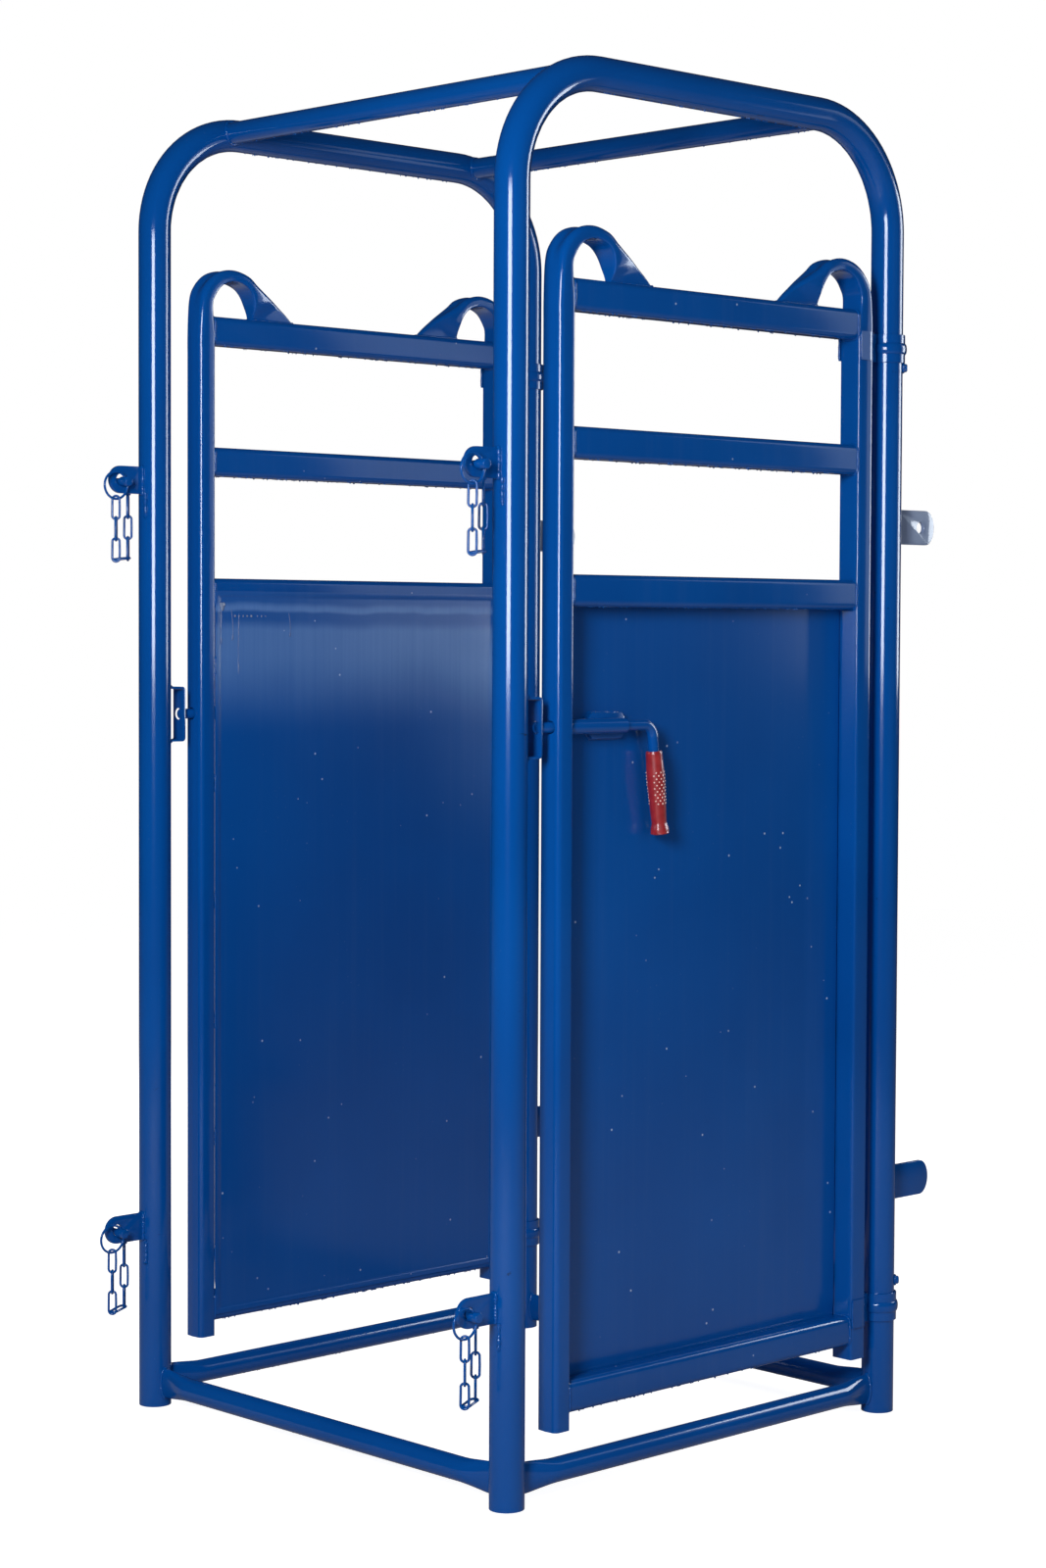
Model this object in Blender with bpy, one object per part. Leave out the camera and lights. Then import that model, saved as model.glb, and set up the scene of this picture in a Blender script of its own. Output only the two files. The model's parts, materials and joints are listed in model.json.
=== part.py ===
"""Artificial insemination cage: a welded tube cage with two side gates, slide bolts, lugs and pins.

Metres, +Z up, origin at the bottom centre of the overall box. Animals walk through along X.
The right side is at -Y and the left side at +Y. Positions named "along" are measured along X
from the front posts, and "out" is measured outwards from a gate's middle plane.
"""
import math

import bmesh
import bpy
from mathutils import Matrix, Vector

# Cage frame
ALLEY_LENGTH = 0.8096          # front post axis to rear post axis
ALLEY_WIDTH = 0.8192           # right post axis to left post axis
ARCH_AXIS_HEIGHT = 2.0286
POST_DIAMETER = 0.0508
POST_WALL = 0.0030
ARCH_BEND_RADIUS = 0.168       # to the tube's axis
CROSS_TUBE_DIAMETER = 0.0352
CROSS_TUBE_WALL = 0.0024
CROSS_TUBE_INSET = 0.140       # from the post axes
BOTTOM_RAIL_DIAMETER = 0.0355
BOTTOM_RAIL_WALL = 0.0024
BOTTOM_RAIL_HEIGHT = 0.0375
PINCH_HALF_HEIGHT = 0.0235
PINCH_HALF_WIDTH = 0.0070
PINCH_LENGTH = 0.070
SEAT_GAP = 0.0003              # between touching pieces

# Lugs that join the cage to the next piece of equipment
LUG_THICKNESS = 0.0064
FRONT_LUG_HEIGHT = 0.043
FRONT_LUG_HOLE_DIAMETER = 0.0180
FRONT_LUG_EDGE = 0.0215        # hole centre to the lug's end
UPPER_FRONT_LUG_HOLE = 0.0670  # hole centre from the post axis
LOWER_FRONT_LUG_HOLE = 0.0755
UPPER_FRONT_LUG_Z = 1.4700
LOWER_FRONT_LUG_Z = 0.2890
REAR_LUG_HEIGHT = 0.0545
REAR_LUG_REACH = 0.1180
REAR_LUG_CORNER = 0.0200
REAR_LUG_HOLE_DIAMETER = 0.0180
REAR_LUG_HOLE = 0.0840
UPPER_REAR_LUG_Z = 1.4035
LOWER_REAR_LUG_Z = 0.3610

# Lynch pins, their rings and tether chains
PIN_DIAMETER = 0.0110
PIN_TIP_LENGTH = 0.0200        # past the lug
PIN_HEAD_DIAMETER = 0.0150
PIN_HEAD_LENGTH = 0.0200
PIN_HEAD_STAND_OFF = 0.0010
RING_WIRE = 0.0038
RING_RADIUS = 0.0215           # to the wire's axis
RING_HANG_ANGLE = math.radians(200)
RING_CLEARANCE = 0.0004
RING_SIDE_GAP = 0.0013         # head's side to where the ring starts to curve
RING_STUB_SHARE = 0.45         # how deep each end sits in the head
PIN_BEVEL = 0.0015
LINK_WIRE = 0.0038
LINK_LENGTH = 0.0400
LINK_WIDTH = 0.0155
LINK_BITE = 0.0005             # how far the painted links have stuck into each other
RING_LINK_GAP = 0.0010
STRAND_LINKS = 3

# Gates
GATE_NOSE_GAP = 0.0655         # post axis to the nose of the latch stile
GATE_HINGE_GAP = 0.0483        # post axis to the nose of the hinge stile
STILE_DEPTH = 0.0400           # along X
STILE_WIDTH = 0.0400           # across the gate
TUBE_WALL = 0.0022
STILE_FOOT_Z = 0.0900
RAIL_HEIGHT = 0.0460
RAIL_DEPTH = 0.0360
RAIL_CORNER = 0.0100
TOP_RAIL_DROP = 0.3156         # arch axis to the top rail's axis
UPPER_RAIL_PITCH = 0.2085
LOWER_RAIL_PITCH = 0.2095
BOTTOM_RAIL_Z = 0.1420
LOOP_CENTRE_ALONG = 0.0775     # from the stile's nose
LOOP_OUTER_RADIUS = 0.0755
LOOP_FOOT_ALONG = 0.1665       # from the stile's nose
LOOP_FOOT_HALF = 0.0440
LOOP_FOOT_THICKNESS = 0.0110
LOOP_GROOVE = 0.0055
LOOP_START_DROP = 0.0300       # straight tube below the loop's centre
FOOT_SPREAD = 1.4              # how late the loop widens to its foot
FLAT_CORNER = ((0.97, -0.90), (0.84, -1.0))  # shares of the half width and half depth
LOOP_BEND = (                  # degrees round, inner radius and width as shares, groove's share
    (160, 0.590, 1.050, 0.25),
    (138, 0.650, 1.080, 0.7),
    (115, 0.715, 1.100, 1.0),
    (90, 0.755, 1.100, 1.0),
    (65, 0.760, 1.075, 1.0),
    (46, 0.740, 1.000, 0.7),
)
LOOP_RUN_OUT = ((0.38, 32), (0.72, 15), (1.0, 0))  # share of the way to the foot, degrees
PANEL_THICKNESS = 0.0020
PANEL_SLIT = 0.0022
PANEL_TOP_DROP = 0.0070        # below the lower rail's axis
PANEL_BOTTOM_Z = 0.1300
PANEL_DISH = 0.0030            # how far the sheet's field is pressed outwards
PANEL_LATCH_STRIP = 0.0210
PANEL_HINGE_STRIP = 0.0550
PANEL_TOP_STRIP = 0.0350
PANEL_BOTTOM_STRIP = 0.0400
PANEL_FOLD = 0.0100

# Hinge straps and the stops that carry them
UPPER_STRAP_DROP = 0.0320      # below the top rail's axis
LOWER_STRAP_Z = 0.1690
STRAP_HEIGHT = 0.0440
STRAP_THICKNESS = 0.0030
STRAP_CLEARANCE = 0.0005
STRAP_NECK = 0.0070
BEAD_HEIGHT = 0.0170
BEAD_DEPTH = 0.0030
STOP_DIAMETER = 0.0130
STOP_REACH = 0.0070
STOP_ROUNDING = 0.6            # where its end starts to narrow, and how far it does
LOWER_STOP_LIFT = 0.0110       # how far the gate can be lifted
STOP_ANGLE = math.radians(-45)

# Slide bolts
LATCH_DROP = 0.1935            # below the lower rail's axis
BOLT_OUT = 0.0030
BOLT_DIAMETER = 0.0159
BOLT_BEVEL = 0.0020
BOLT_TIP_GAP = 0.0008          # drawn bolt to the keeper
BOLT_BEND_RADIUS = 0.0200
BOLT_CORNER_ALONG = 0.2815
BOLT_HOLE_DIAMETER = 0.0190
HANDLE_LEAN = math.radians(6.6)
HANDLE_DROP = 0.0390           # corner to the top of the grip
GRIP_LENGTH = 0.1160
GRIP_DIAMETER = 0.0225
GRIP_END_WALL = 0.0060
GRIP_PROFILE = (               # share of the length, share of the radius
    (0.0, 0.91),
    (0.035, 1.0),
    (0.45, 1.065),
    (0.80, 1.04),
    (0.93, 1.13),
    (0.975, 1.13),
    (1.0, 0.87),
)
GUIDE_DIAMETER = 0.0222
GUIDE_WALL = 0.0023
GUIDE_LENGTH = 0.1190
BRACKET_START = 0.1640
BRACKET_LENGTH = 0.0740
BRACKET_HEIGHT = 0.0380
BRACKET_CHAMFER = 0.0080
KEEPER_WEB_ALONG = 0.0500      # post axis to the keeper's outer face
KEEPER_HEIGHT = 0.0870
KEEPER_WIDTH = 0.0280
KEEPER_THICKNESS = 0.0032
KEEPER_BEND = 0.0060
DRILL_MARGIN = 0.0040

# Facets
POST_SIDES = 16
TUBE_SIDES = 12
BEND_STEPS = 6
WIRE_SIDES = 5
PIN_SIDES = 10
HOLE_SIDES = 14
SMALLEST_FACET = math.radians(1.5)
PINCH_STEPS = 3
LUG_END_STEPS = 8
RING_STEPS = 12
BOW_STEPS = 3
NOSE_STEPS = 7
SLEEVE_STEPS = 12
SADDLE_STEPS = 5
KEEPER_STEPS = 4
CORNER_STEPS = 2

# Derived positions
POST_RADIUS = POST_DIAMETER / 2
SEAT_RADIUS = POST_RADIUS + SEAT_GAP
HALF_WIDTH = ALLEY_WIDTH / 2
RING_MOUTH = PIN_HEAD_DIAMETER / 2 + RING_SIDE_GAP
RING_FALL = math.sqrt(RING_RADIUS**2 - RING_MOUTH**2)
FRONT_REACH = (
    max(UPPER_FRONT_LUG_HOLE, LOWER_FRONT_LUG_HOLE)
    - RING_FALL * math.cos(RING_HANG_ANGLE)
    + RING_RADIUS
    + RING_WIRE / 2
)
FRONT_X = (FRONT_REACH - REAR_LUG_REACH - ALLEY_LENGTH) / 2
LATCH_FLAT_ALONG = GATE_NOSE_GAP + STILE_DEPTH
HINGE_FLAT_ALONG = ALLEY_LENGTH - GATE_HINGE_GAP - STILE_DEPTH
TOP_RAIL_Z = ARCH_AXIS_HEIGHT - TOP_RAIL_DROP
MIDDLE_RAIL_Z = TOP_RAIL_Z - UPPER_RAIL_PITCH
LOWER_RAIL_Z = MIDDLE_RAIL_Z - LOWER_RAIL_PITCH
PANEL_TOP_Z = LOWER_RAIL_Z - PANEL_TOP_DROP
LATCH_Z = LOWER_RAIL_Z - LATCH_DROP
UPPER_STRAP_Z = TOP_RAIL_Z - UPPER_STRAP_DROP
LOOP_CENTRE_Z = TOP_RAIL_Z + RAIL_HEIGHT / 2 + SEAT_GAP

BLUE = (0.006, 0.070, 0.245)
BLUE_ROUGHNESS = 0.25
RED = (0.360, 0.022, 0.022)
RED_ROUGHNESS = 0.4


def clear_scene():
    for old in list(bpy.data.objects):
        bpy.data.objects.remove(old, do_unlink=True)


def paint(name, colour, roughness):
    material = bpy.data.materials.new(name)
    material.use_nodes = True
    shader = material.node_tree.nodes["Principled BSDF"]
    shader.inputs["Base Color"].default_value = (*colour, 1.0)
    shader.inputs["Roughness"].default_value = roughness
    shader.inputs["Metallic"].default_value = 0.0
    return material


def add_object(name, mesh, parent=None, colour=BLUE, roughness=BLUE_ROUGHNESS):
    """Makes the named object; a moving piece's mesh is kept in world places under its parent."""
    piece = bpy.data.objects.new(name, mesh)
    bpy.context.scene.collection.objects.link(piece)
    mesh.materials.clear()
    mesh.materials.append(paint(name + "_paint", colour, roughness))
    mesh.shade_smooth()
    mesh.set_sharp_from_angle(angle=math.radians(35))
    if parent is not None:
        piece.parent = parent
        piece.matrix_parent_inverse = Matrix.Translation(parent.location).inverted()
    return piece


def add_pivot(name, place, parent=None):
    pivot = bpy.data.objects.new(name, None)
    bpy.context.scene.collection.objects.link(pivot)
    pivot.location = place
    if parent is not None:
        pivot.parent = parent
        pivot.matrix_parent_inverse = Matrix.Translation(parent.location).inverted()
    return pivot


def finish_mesh(name, bm):
    bmesh.ops.remove_doubles(bm, verts=bm.verts, dist=1e-7)
    bmesh.ops.recalc_face_normals(bm, faces=bm.faces)
    if bm.calc_volume(signed=True) < 0:
        bmesh.ops.reverse_faces(bm, faces=bm.faces)
    mesh = bpy.data.meshes.new(name)
    bm.to_mesh(mesh)
    bm.free()
    return mesh


def join_loops(bm, low, high):
    for i in range(len(low)):
        j = (i + 1) % len(low)
        bm.faces.new((low[i], low[j], high[j], high[i]))


def skin(bm, rings, closed=False):
    """Joins rings of equal length, in order, with faces; returns their vertices."""
    rows = [[bm.verts.new(p) for p in ring] for ring in rings]
    following = rows[1:] + rows[:1] if closed else rows[1:]
    for low, high in zip(rows, following):
        join_loops(bm, low, high)
    return rows


def solid_mesh(name, rings):
    bm = bmesh.new()
    rows = skin(bm, rings)
    bm.faces.new(rows[0])
    bm.faces.new(rows[-1])
    return finish_mesh(name, bm)


def tube_mesh(name, outer, inner, closed_end=False):
    """A hollow piece; its last end is open too, or closed by both skins."""
    bm = bmesh.new()
    out_rows = skin(bm, outer)
    in_rows = skin(bm, inner)
    join_loops(bm, out_rows[0], in_rows[0])
    if closed_end:
        bm.faces.new(out_rows[-1])
        bm.faces.new(in_rows[-1])
    else:
        join_loops(bm, out_rows[-1], in_rows[-1])
    return finish_mesh(name, bm)


def eased(share):
    return share * share * (3 - 2 * share)


def circle(count, radius):
    steps = [2 * math.pi * i / count for i in range(count)]
    return [(radius * math.cos(a), radius * math.sin(a)) for a in steps]


def sweep_ring(centre, across, side, points):
    return [centre + across * u + side * v for u, v in points]


def world(side, along, out, z):
    """A place on one side of the cage: side is -1 on the right and +1 on the left."""
    return Vector((FRONT_X + along, side * (HALF_WIDTH + out), z))


def drill(piece, start, end, radius, sides=HOLE_SIDES):
    """Cuts a round hole through a piece with a hidden cutter."""
    run = end - start
    bm = bmesh.new()
    bmesh.ops.create_cone(
        bm, cap_ends=True, segments=sides, radius1=radius, radius2=radius, depth=run.length
    )
    turn = run.to_track_quat("Z", "Y").to_matrix().to_4x4()
    bmesh.ops.transform(bm, verts=bm.verts, matrix=Matrix.Translation((start + end) / 2) @ turn)
    cutter = bpy.data.objects.new(piece.name + "_cutter", finish_mesh("cutter", bm))
    bpy.context.scene.collection.objects.link(cutter)
    cutter.hide_render = True
    cutter.display_type = "WIRE"
    cut = piece.modifiers.new("hole", "BOOLEAN")
    cut.operation = "DIFFERENCE"
    cut.solver = "EXACT"
    cut.object = cutter


# Arches: each is one tube that makes two posts and the top run

def arch_stations():
    """The arch's axis as (along, z, direction angle) from the front foot to the rear foot."""
    bend_z = ARCH_AXIS_HEIGHT - ARCH_BEND_RADIUS
    stations = [(0.0, 0.0, math.pi / 2)]
    for step in range(BEND_STEPS + 1):
        turned = math.pi / 2 * step / BEND_STEPS
        stations.append(
            (
                ARCH_BEND_RADIUS * (1 - math.cos(turned)),
                bend_z + ARCH_BEND_RADIUS * math.sin(turned),
                math.pi / 2 - turned,
            )
        )
    rear = [(ALLEY_LENGTH - along, z, -angle) for along, z, angle in reversed(stations)]
    return stations + rear


def arch(side, name):
    def rings(radius):
        made = []
        for along, z, angle in arch_stations():
            across = Vector((-math.sin(angle), 0, math.cos(angle)))
            centre = world(side, along, 0, z)
            made.append(sweep_ring(centre, across, Vector((0, 1, 0)), circle(POST_SIDES, radius)))
        return made

    mesh = tube_mesh(name, rings(POST_RADIUS), rings(POST_RADIUS - POST_WALL))
    return add_object(name, mesh)


def arch_surface(along, z):
    """How far an arch's faceted surface stands from its middle plane at a place in that plane."""
    place = Vector((along, z))
    points = [Vector((a, b)) for a, b, angle in arch_stations()]
    off_axis = ARCH_AXIS_HEIGHT
    for start, end in zip(points, points[1:]):
        run = end - start
        share = min(max((place - start).dot(run) / run.length_squared, 0.0), 1.0)
        off_axis = min(off_axis, (place - start - run * share).length)
    return math.sqrt(SEAT_RADIUS**2 - off_axis**2)


def top_tube(name, along):
    """A cross tube whose ends are coped to the arches."""

    def rings(radius):
        made = []
        for side in (-1, 1):
            ring = []
            for u, v in circle(POST_SIDES, radius):
                z = ARCH_AXIS_HEIGHT + v
                ring.append(world(side, along + u, -arch_surface(along + u, z), z))
            made.append(ring)
        return made

    outer = rings(CROSS_TUBE_DIAMETER / 2)
    inner = rings(CROSS_TUBE_DIAMETER / 2 - CROSS_TUBE_WALL)
    return add_object(name, tube_mesh(name, outer, inner))


# Bottom rails: round tubes whose pinched ends are welded to the posts

def pinched_half_sizes(distance, wall):
    """Half width and half height of a bottom rail at a distance from the post's surface."""
    share = eased(distance / PINCH_LENGTH)
    radius = BOTTOM_RAIL_DIAMETER / 2
    wide = PINCH_HALF_WIDTH + (radius - PINCH_HALF_WIDTH) * share
    high = PINCH_HALF_HEIGHT + (radius - PINCH_HALF_HEIGHT) * share
    return wide - wall, high - wall


def bottom_rail(name, start, end):
    forward = (end - start).normalized()
    across = Vector((0, 0, 1)).cross(forward)
    distances = [PINCH_LENGTH * step / PINCH_STEPS for step in range(PINCH_STEPS + 1)]
    stations = [(start, forward, distance) for distance in distances]
    stations += [(end, -forward, distance) for distance in reversed(distances)]

    def rings(wall):
        made = []
        for post, away, distance in stations:
            wide, high = pinched_half_sizes(distance, wall)
            ring = []
            for c, s in circle(TUBE_SIDES, 1.0):
                cope = math.sqrt(SEAT_RADIUS**2 - (wide * c) ** 2) if distance == 0 else SEAT_RADIUS
                middle = post + away * (cope + distance)
                ring.append(middle + across * (wide * c) + Vector((0, 0, high * s)))
            made.append(ring)
        return made

    return add_object(name, tube_mesh(name, rings(0.0), rings(BOTTOM_RAIL_WALL)))


# Lugs

def outline_reach(outline, centre, angle):
    """Distance from a centre to a convex outline in one direction."""
    dx, dz = math.cos(angle), math.sin(angle)
    best = None
    for (ax, az), (bx, bz) in zip(outline, outline[1:] + outline[:1]):
        ex, ez = bx - ax, bz - az
        cross = dx * ez - dz * ex
        if abs(cross) < 1e-12:
            continue
        t = ((ax - centre[0]) * ez - (az - centre[1]) * ex) / cross
        s = ((ax - centre[0]) * dz - (az - centre[1]) * dx) / cross
        if t > 0 and -1e-9 <= s <= 1 + 1e-9 and (best is None or t < best):
            best = t
    return best


def plate_rings(outline, centre, radius):
    """Matching outline and hole points, at the hole's even steps and the outline's corners."""
    angles = {round(2 * math.pi * i / HOLE_SIDES, 9) for i in range(HOLE_SIDES)}
    for x, z in outline:
        angles.add(round(math.atan2(z - centre[1], x - centre[0]) % (2 * math.pi), 9))
    ordered = sorted(angles)
    kept = [ordered[0]]
    for angle in ordered[1:]:
        if angle - kept[-1] > SMALLEST_FACET:
            kept.append(angle)
    rim, hole = [], []
    for angle in kept:
        reach = outline_reach(outline, centre, angle)
        rim.append((centre[0] + reach * math.cos(angle), centre[1] + reach * math.sin(angle)))
        hole.append((centre[0] + radius * math.cos(angle), centre[1] + radius * math.sin(angle)))
    return rim, hole


def lug(name, side, post_along, direction, z, outline, hole_at, hole_radius):
    """A flat lug in the plane of an arch; its outline is measured from the post axis."""

    def place(point, thick):
        along = post_along + direction * point[0]
        return Vector((FRONT_X + along, side * HALF_WIDTH + thick, z + point[1]))

    half = LUG_THICKNESS / 2
    if hole_radius is None:
        rings = [[place(p, thick) for p in outline] for thick in (-half, half)]
        return add_object(name, solid_mesh(name, rings))
    rim, hole = plate_rings(outline, (hole_at, 0.0), hole_radius)
    outer = [[place(p, thick) for p in rim] for thick in (-half, half)]
    inner = [[place(p, thick) for p in hole] for thick in (-half, half)]
    return add_object(name, tube_mesh(name, outer, inner))


def lug_outline(base, reach, half):
    """A strap from the post whose end is rounded past its base."""
    points = [(SEAT_RADIUS, half), (SEAT_RADIUS, -half)]
    for step in range(LUG_END_STEPS + 1):
        angle = -math.pi / 2 + math.pi * step / LUG_END_STEPS
        points.append((base + reach * math.cos(angle), half * math.sin(angle)))
    return points


# Lynch pins: a turned shaft and a head with a cross hole for the ring

def pin_centre(hole_at, z):
    """The pin lies on the bottom of its hole."""
    drop = (FRONT_LUG_HOLE_DIAMETER - PIN_DIAMETER) / 2 - SEAT_GAP
    return hole_at, z - drop


def head_cross_y():
    """Where the ring passes through the head, across the lug from its middle plane."""
    return LUG_THICKNESS / 2 + PIN_HEAD_STAND_OFF + PIN_HEAD_LENGTH / 2


def ring_axis():
    return Vector((math.sin(RING_HANG_ANGLE), 0, -math.cos(RING_HANG_ANGLE)))


def lynch_pin(name, side, hole_at, z, pivot):
    head_inner = -(LUG_THICKNESS / 2 + PIN_HEAD_STAND_OFF)
    head_outer = head_inner - PIN_HEAD_LENGTH
    tip = LUG_THICKNESS / 2 + PIN_TIP_LENGTH
    profile = [
        (head_outer, PIN_HEAD_DIAMETER / 2 - PIN_BEVEL),
        (head_outer + PIN_BEVEL, PIN_HEAD_DIAMETER / 2),
        (head_inner - PIN_BEVEL, PIN_HEAD_DIAMETER / 2),
        (head_inner, PIN_HEAD_DIAMETER / 2 - PIN_BEVEL),
        (head_inner, PIN_DIAMETER / 2),
        (tip - 2 * PIN_BEVEL, PIN_DIAMETER / 2),
        (tip, PIN_DIAMETER / 2 - PIN_BEVEL),
    ]
    x = FRONT_X - hole_at
    rings = []
    for y, radius in profile:
        points = circle(PIN_SIDES, radius)
        rings.append([Vector((x + u, side * HALF_WIDTH + y, z + v)) for u, v in points])
    piece = add_object(name, solid_mesh(name, rings), pivot)
    centre = Vector((x, side * HALF_WIDTH - head_cross_y(), z))
    reach = ring_axis() * PIN_HEAD_DIAMETER
    drill(piece, centre - reach, centre + reach, RING_WIRE / 2 + RING_CLEARANCE, PIN_SIDES)
    return piece


def pin_ring(name, side, hole_at, z, pivot):
    """A sprung ring whose two ends plug into the head's cross hole."""
    axis = ring_axis()
    hang = Vector((math.cos(RING_HANG_ANGLE), 0, math.sin(RING_HANG_ANGLE)))
    head = Vector((FRONT_X - hole_at, side * HALF_WIDTH - head_cross_y(), z))
    open_half = math.asin(RING_MOUTH / RING_RADIUS)
    centre = head + hang * RING_FALL
    stub = RING_MOUTH * RING_STUB_SHARE
    path = [head + axis * stub]
    for step in range(RING_STEPS + 1):
        angle = open_half + (2 * math.pi - 2 * open_half) * step / RING_STEPS
        reach = hang * math.cos(angle) - axis * math.sin(angle)
        path.append(centre - reach * RING_RADIUS)
    path.append(head - axis * stub)
    return add_object(name, wire_mesh(name, path, Vector((0, 1, 0)), RING_WIRE / 2, False), pivot)


def wire_mesh(name, path, normal, radius, closed):
    """A round wire along a path that lies in one plane, given by its normal."""
    count = len(path)
    rings = []
    for i, point in enumerate(path):
        before = path[(i - 1) % count] if closed or i else point
        after = path[(i + 1) % count] if closed or i < count - 1 else point
        ahead = (after - before).normalized()
        across = normal.cross(ahead).normalized()
        rings.append(sweep_ring(point, across, normal, circle(WIRE_SIDES, radius)))
    bm = bmesh.new()
    rows = skin(bm, rings, closed)
    if not closed:
        bm.faces.new(rows[0])
        bm.faces.new(rows[-1])
    return finish_mesh(name, bm)


def link_path(top, bottom, side_way):
    """A chain link's axis between the tops of its two end bows."""
    half_width = (LINK_WIDTH - LINK_WIRE) / 2
    ahead = (bottom - top).normalized()
    path = []
    for end, sign in ((bottom, 1), (top, -1)):
        bow = end - ahead * (half_width * sign)
        for step in range(BOW_STEPS + 1):
            angle = math.pi / 2 - math.pi * step / BOW_STEPS
            reach = ahead * (half_width * math.cos(angle) * sign)
            path.append(bow + reach + side_way * (half_width * math.sin(angle) * sign))
    return path


def chain_links(side, hole_at, lug_z, pin_z):
    """Top, bottom and side direction of each link, from the ring to the lug."""
    length = LINK_LENGTH - LINK_WIRE
    pitch = length - LINK_WIRE + LINK_BITE
    head = Vector((FRONT_X - hole_at, side * HALF_WIDTH - head_cross_y(), pin_z))
    ring_x = head.x + RING_FALL * math.cos(RING_HANG_ANGLE)
    ring_z = head.z + RING_FALL * math.sin(RING_HANG_ANGLE) - RING_RADIUS
    facing = Vector((math.sqrt(0.5), -math.sqrt(0.5), 0))
    edgeways = Vector((math.sqrt(0.5), math.sqrt(0.5), 0))
    links = []
    z = ring_z + (RING_WIRE + LINK_WIRE) / 2 + RING_LINK_GAP
    for n in range(STRAND_LINKS):
        top = Vector((ring_x, head.y, z - n * pitch))
        links.append((top, top - Vector((0, 0, length)), facing if n % 2 == 0 else edgeways))
    low = links[-1][1]
    weld_z = lug_z - FRONT_LUG_HEIGHT / 2 - SEAT_GAP - LINK_WIRE / 2
    rise = weld_z - (length + (STRAND_LINKS - 1) * pitch) - low.z
    bite = LINK_WIRE - LINK_BITE
    across_y = side * HALF_WIDTH - head.y
    across_x = math.sqrt(length**2 - rise**2 - across_y**2)
    near_end = low + Vector((0, 0, bite))
    far_end = near_end + Vector((across_x, across_y, rise))
    level = Vector((-across_y, across_x, 0)).normalized()
    links.append((near_end, far_end, level))
    foot = far_end - Vector((0, 0, bite))
    for n in range(STRAND_LINKS):
        bottom = foot + Vector((0, 0, n * pitch))
        links.append((bottom + Vector((0, 0, length)), bottom, edgeways if n % 2 == 0 else facing))
    return links


def tether_chain(name, side, hole_at, lug_z, pin_z):
    """The links of one chain, stuck together by their paint where they bear on each other."""
    whole = None
    for n, (top, bottom, side_way) in enumerate(chain_links(side, hole_at, lug_z, pin_z)):
        normal = side_way.cross((bottom - top).normalized())
        path = link_path(top, bottom, side_way)
        mesh = wire_mesh(name + "_link", path, normal, LINK_WIRE / 2, True)
        if whole is None:
            whole = add_object(name, mesh)
            continue
        extra = bpy.data.objects.new(name + "_link_" + str(n), mesh)
        bpy.context.scene.collection.objects.link(extra)
        extra.hide_render = True
        extra.display_type = "WIRE"
        join = whole.modifiers.new("link", "BOOLEAN")
        join.operation = "UNION"
        join.solver = "EXACT"
        join.object = extra
    return whole


# Gate stiles: a D tube whose top is bent over and flattened on to the top rail

def stile_section(half, wide, groove, wall):
    """Section points (outwards from the bend, across the gate) of the stile's tube."""
    base = half - min(half, wide)
    shrink_u = (half - wall) / half
    shrink_v = (wide - wall) / wide
    points = []
    for step in range(NOSE_STEPS + 1):
        angle = -math.pi / 2 + math.pi * step / NOSE_STEPS
        hollow = groove * max(math.cos(2 * angle), 0.0)
        points.append((base + (half - base) * math.cos(angle) - hollow, wide * math.sin(angle)))
    points += [(half * u, wide * v) for v, u in FLAT_CORNER]
    points += [(half * u, -wide * v) for v, u in reversed(FLAT_CORNER)]
    return [(u * shrink_u, v * shrink_v) for u, v in points]


def stile_stations():
    """(along from the nose, z, section angle, half depth, half width, groove) up the stile."""
    half = STILE_DEPTH / 2
    wide = STILE_WIDTH / 2
    stations = [
        (half, STILE_FOOT_Z, 180, half, wide, 0.0),
        (half, LOOP_CENTRE_Z - LOOP_START_DROP, 180, half, wide, 0.0),
    ]
    for angle, inner, spread, share in LOOP_BEND:
        middle = LOOP_OUTER_RADIUS * (1 + inner) / 2
        turn = math.radians(angle)
        stations.append(
            (
                LOOP_CENTRE_ALONG + middle * math.cos(turn),
                LOOP_CENTRE_Z + middle * math.sin(turn),
                angle,
                LOOP_OUTER_RADIUS * (1 - inner) / 2,
                wide * spread,
                LOOP_GROOVE * share,
            )
        )
    last = stations[-1]
    thin = LOOP_FOOT_THICKNESS / 2
    for share, angle in LOOP_RUN_OUT:
        stations.append(
            (
                last[0] + (LOOP_FOOT_ALONG - last[0]) * share,
                last[1] + (LOOP_CENTRE_Z - last[1]) * share,
                angle,
                last[3] + (LOOP_FOOT_HALF - last[3]) * share**FOOT_SPREAD,
                last[4] + (thin - last[4]) * eased(share),
                last[5] * (1 - share),
            )
        )
    return stations


def stile(name, side, nose_along, direction, pivot):
    """A stile whose nose is at nose_along and whose loop leans in the given direction."""

    def rings(wall):
        made = []
        for along, z, degrees, half, wide, groove in stile_stations():
            turn = math.radians(degrees)
            ring = []
            for u, v in stile_section(half, wide, groove, wall):
                x = nose_along + direction * (along + u * math.cos(turn))
                ring.append(world(side, x, v, z + u * math.sin(turn)))
            made.append(ring)
        return made

    return add_object(name, tube_mesh(name, rings(0.0), rings(TUBE_WALL)[:-1], True), pivot)


# Gate rails and panel

def rounded_box(half_u, half_v, corner):
    points = []
    for quarter in range(4):
        cu = (half_u - corner) * (1 if quarter in (0, 3) else -1)
        cv = (half_v - corner) * (1 if quarter in (0, 1) else -1)
        for step in range(CORNER_STEPS + 1):
            angle = math.pi / 2 * (quarter + step / CORNER_STEPS)
            points.append((cu + corner * math.cos(angle), cv + corner * math.sin(angle)))
    return points


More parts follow.
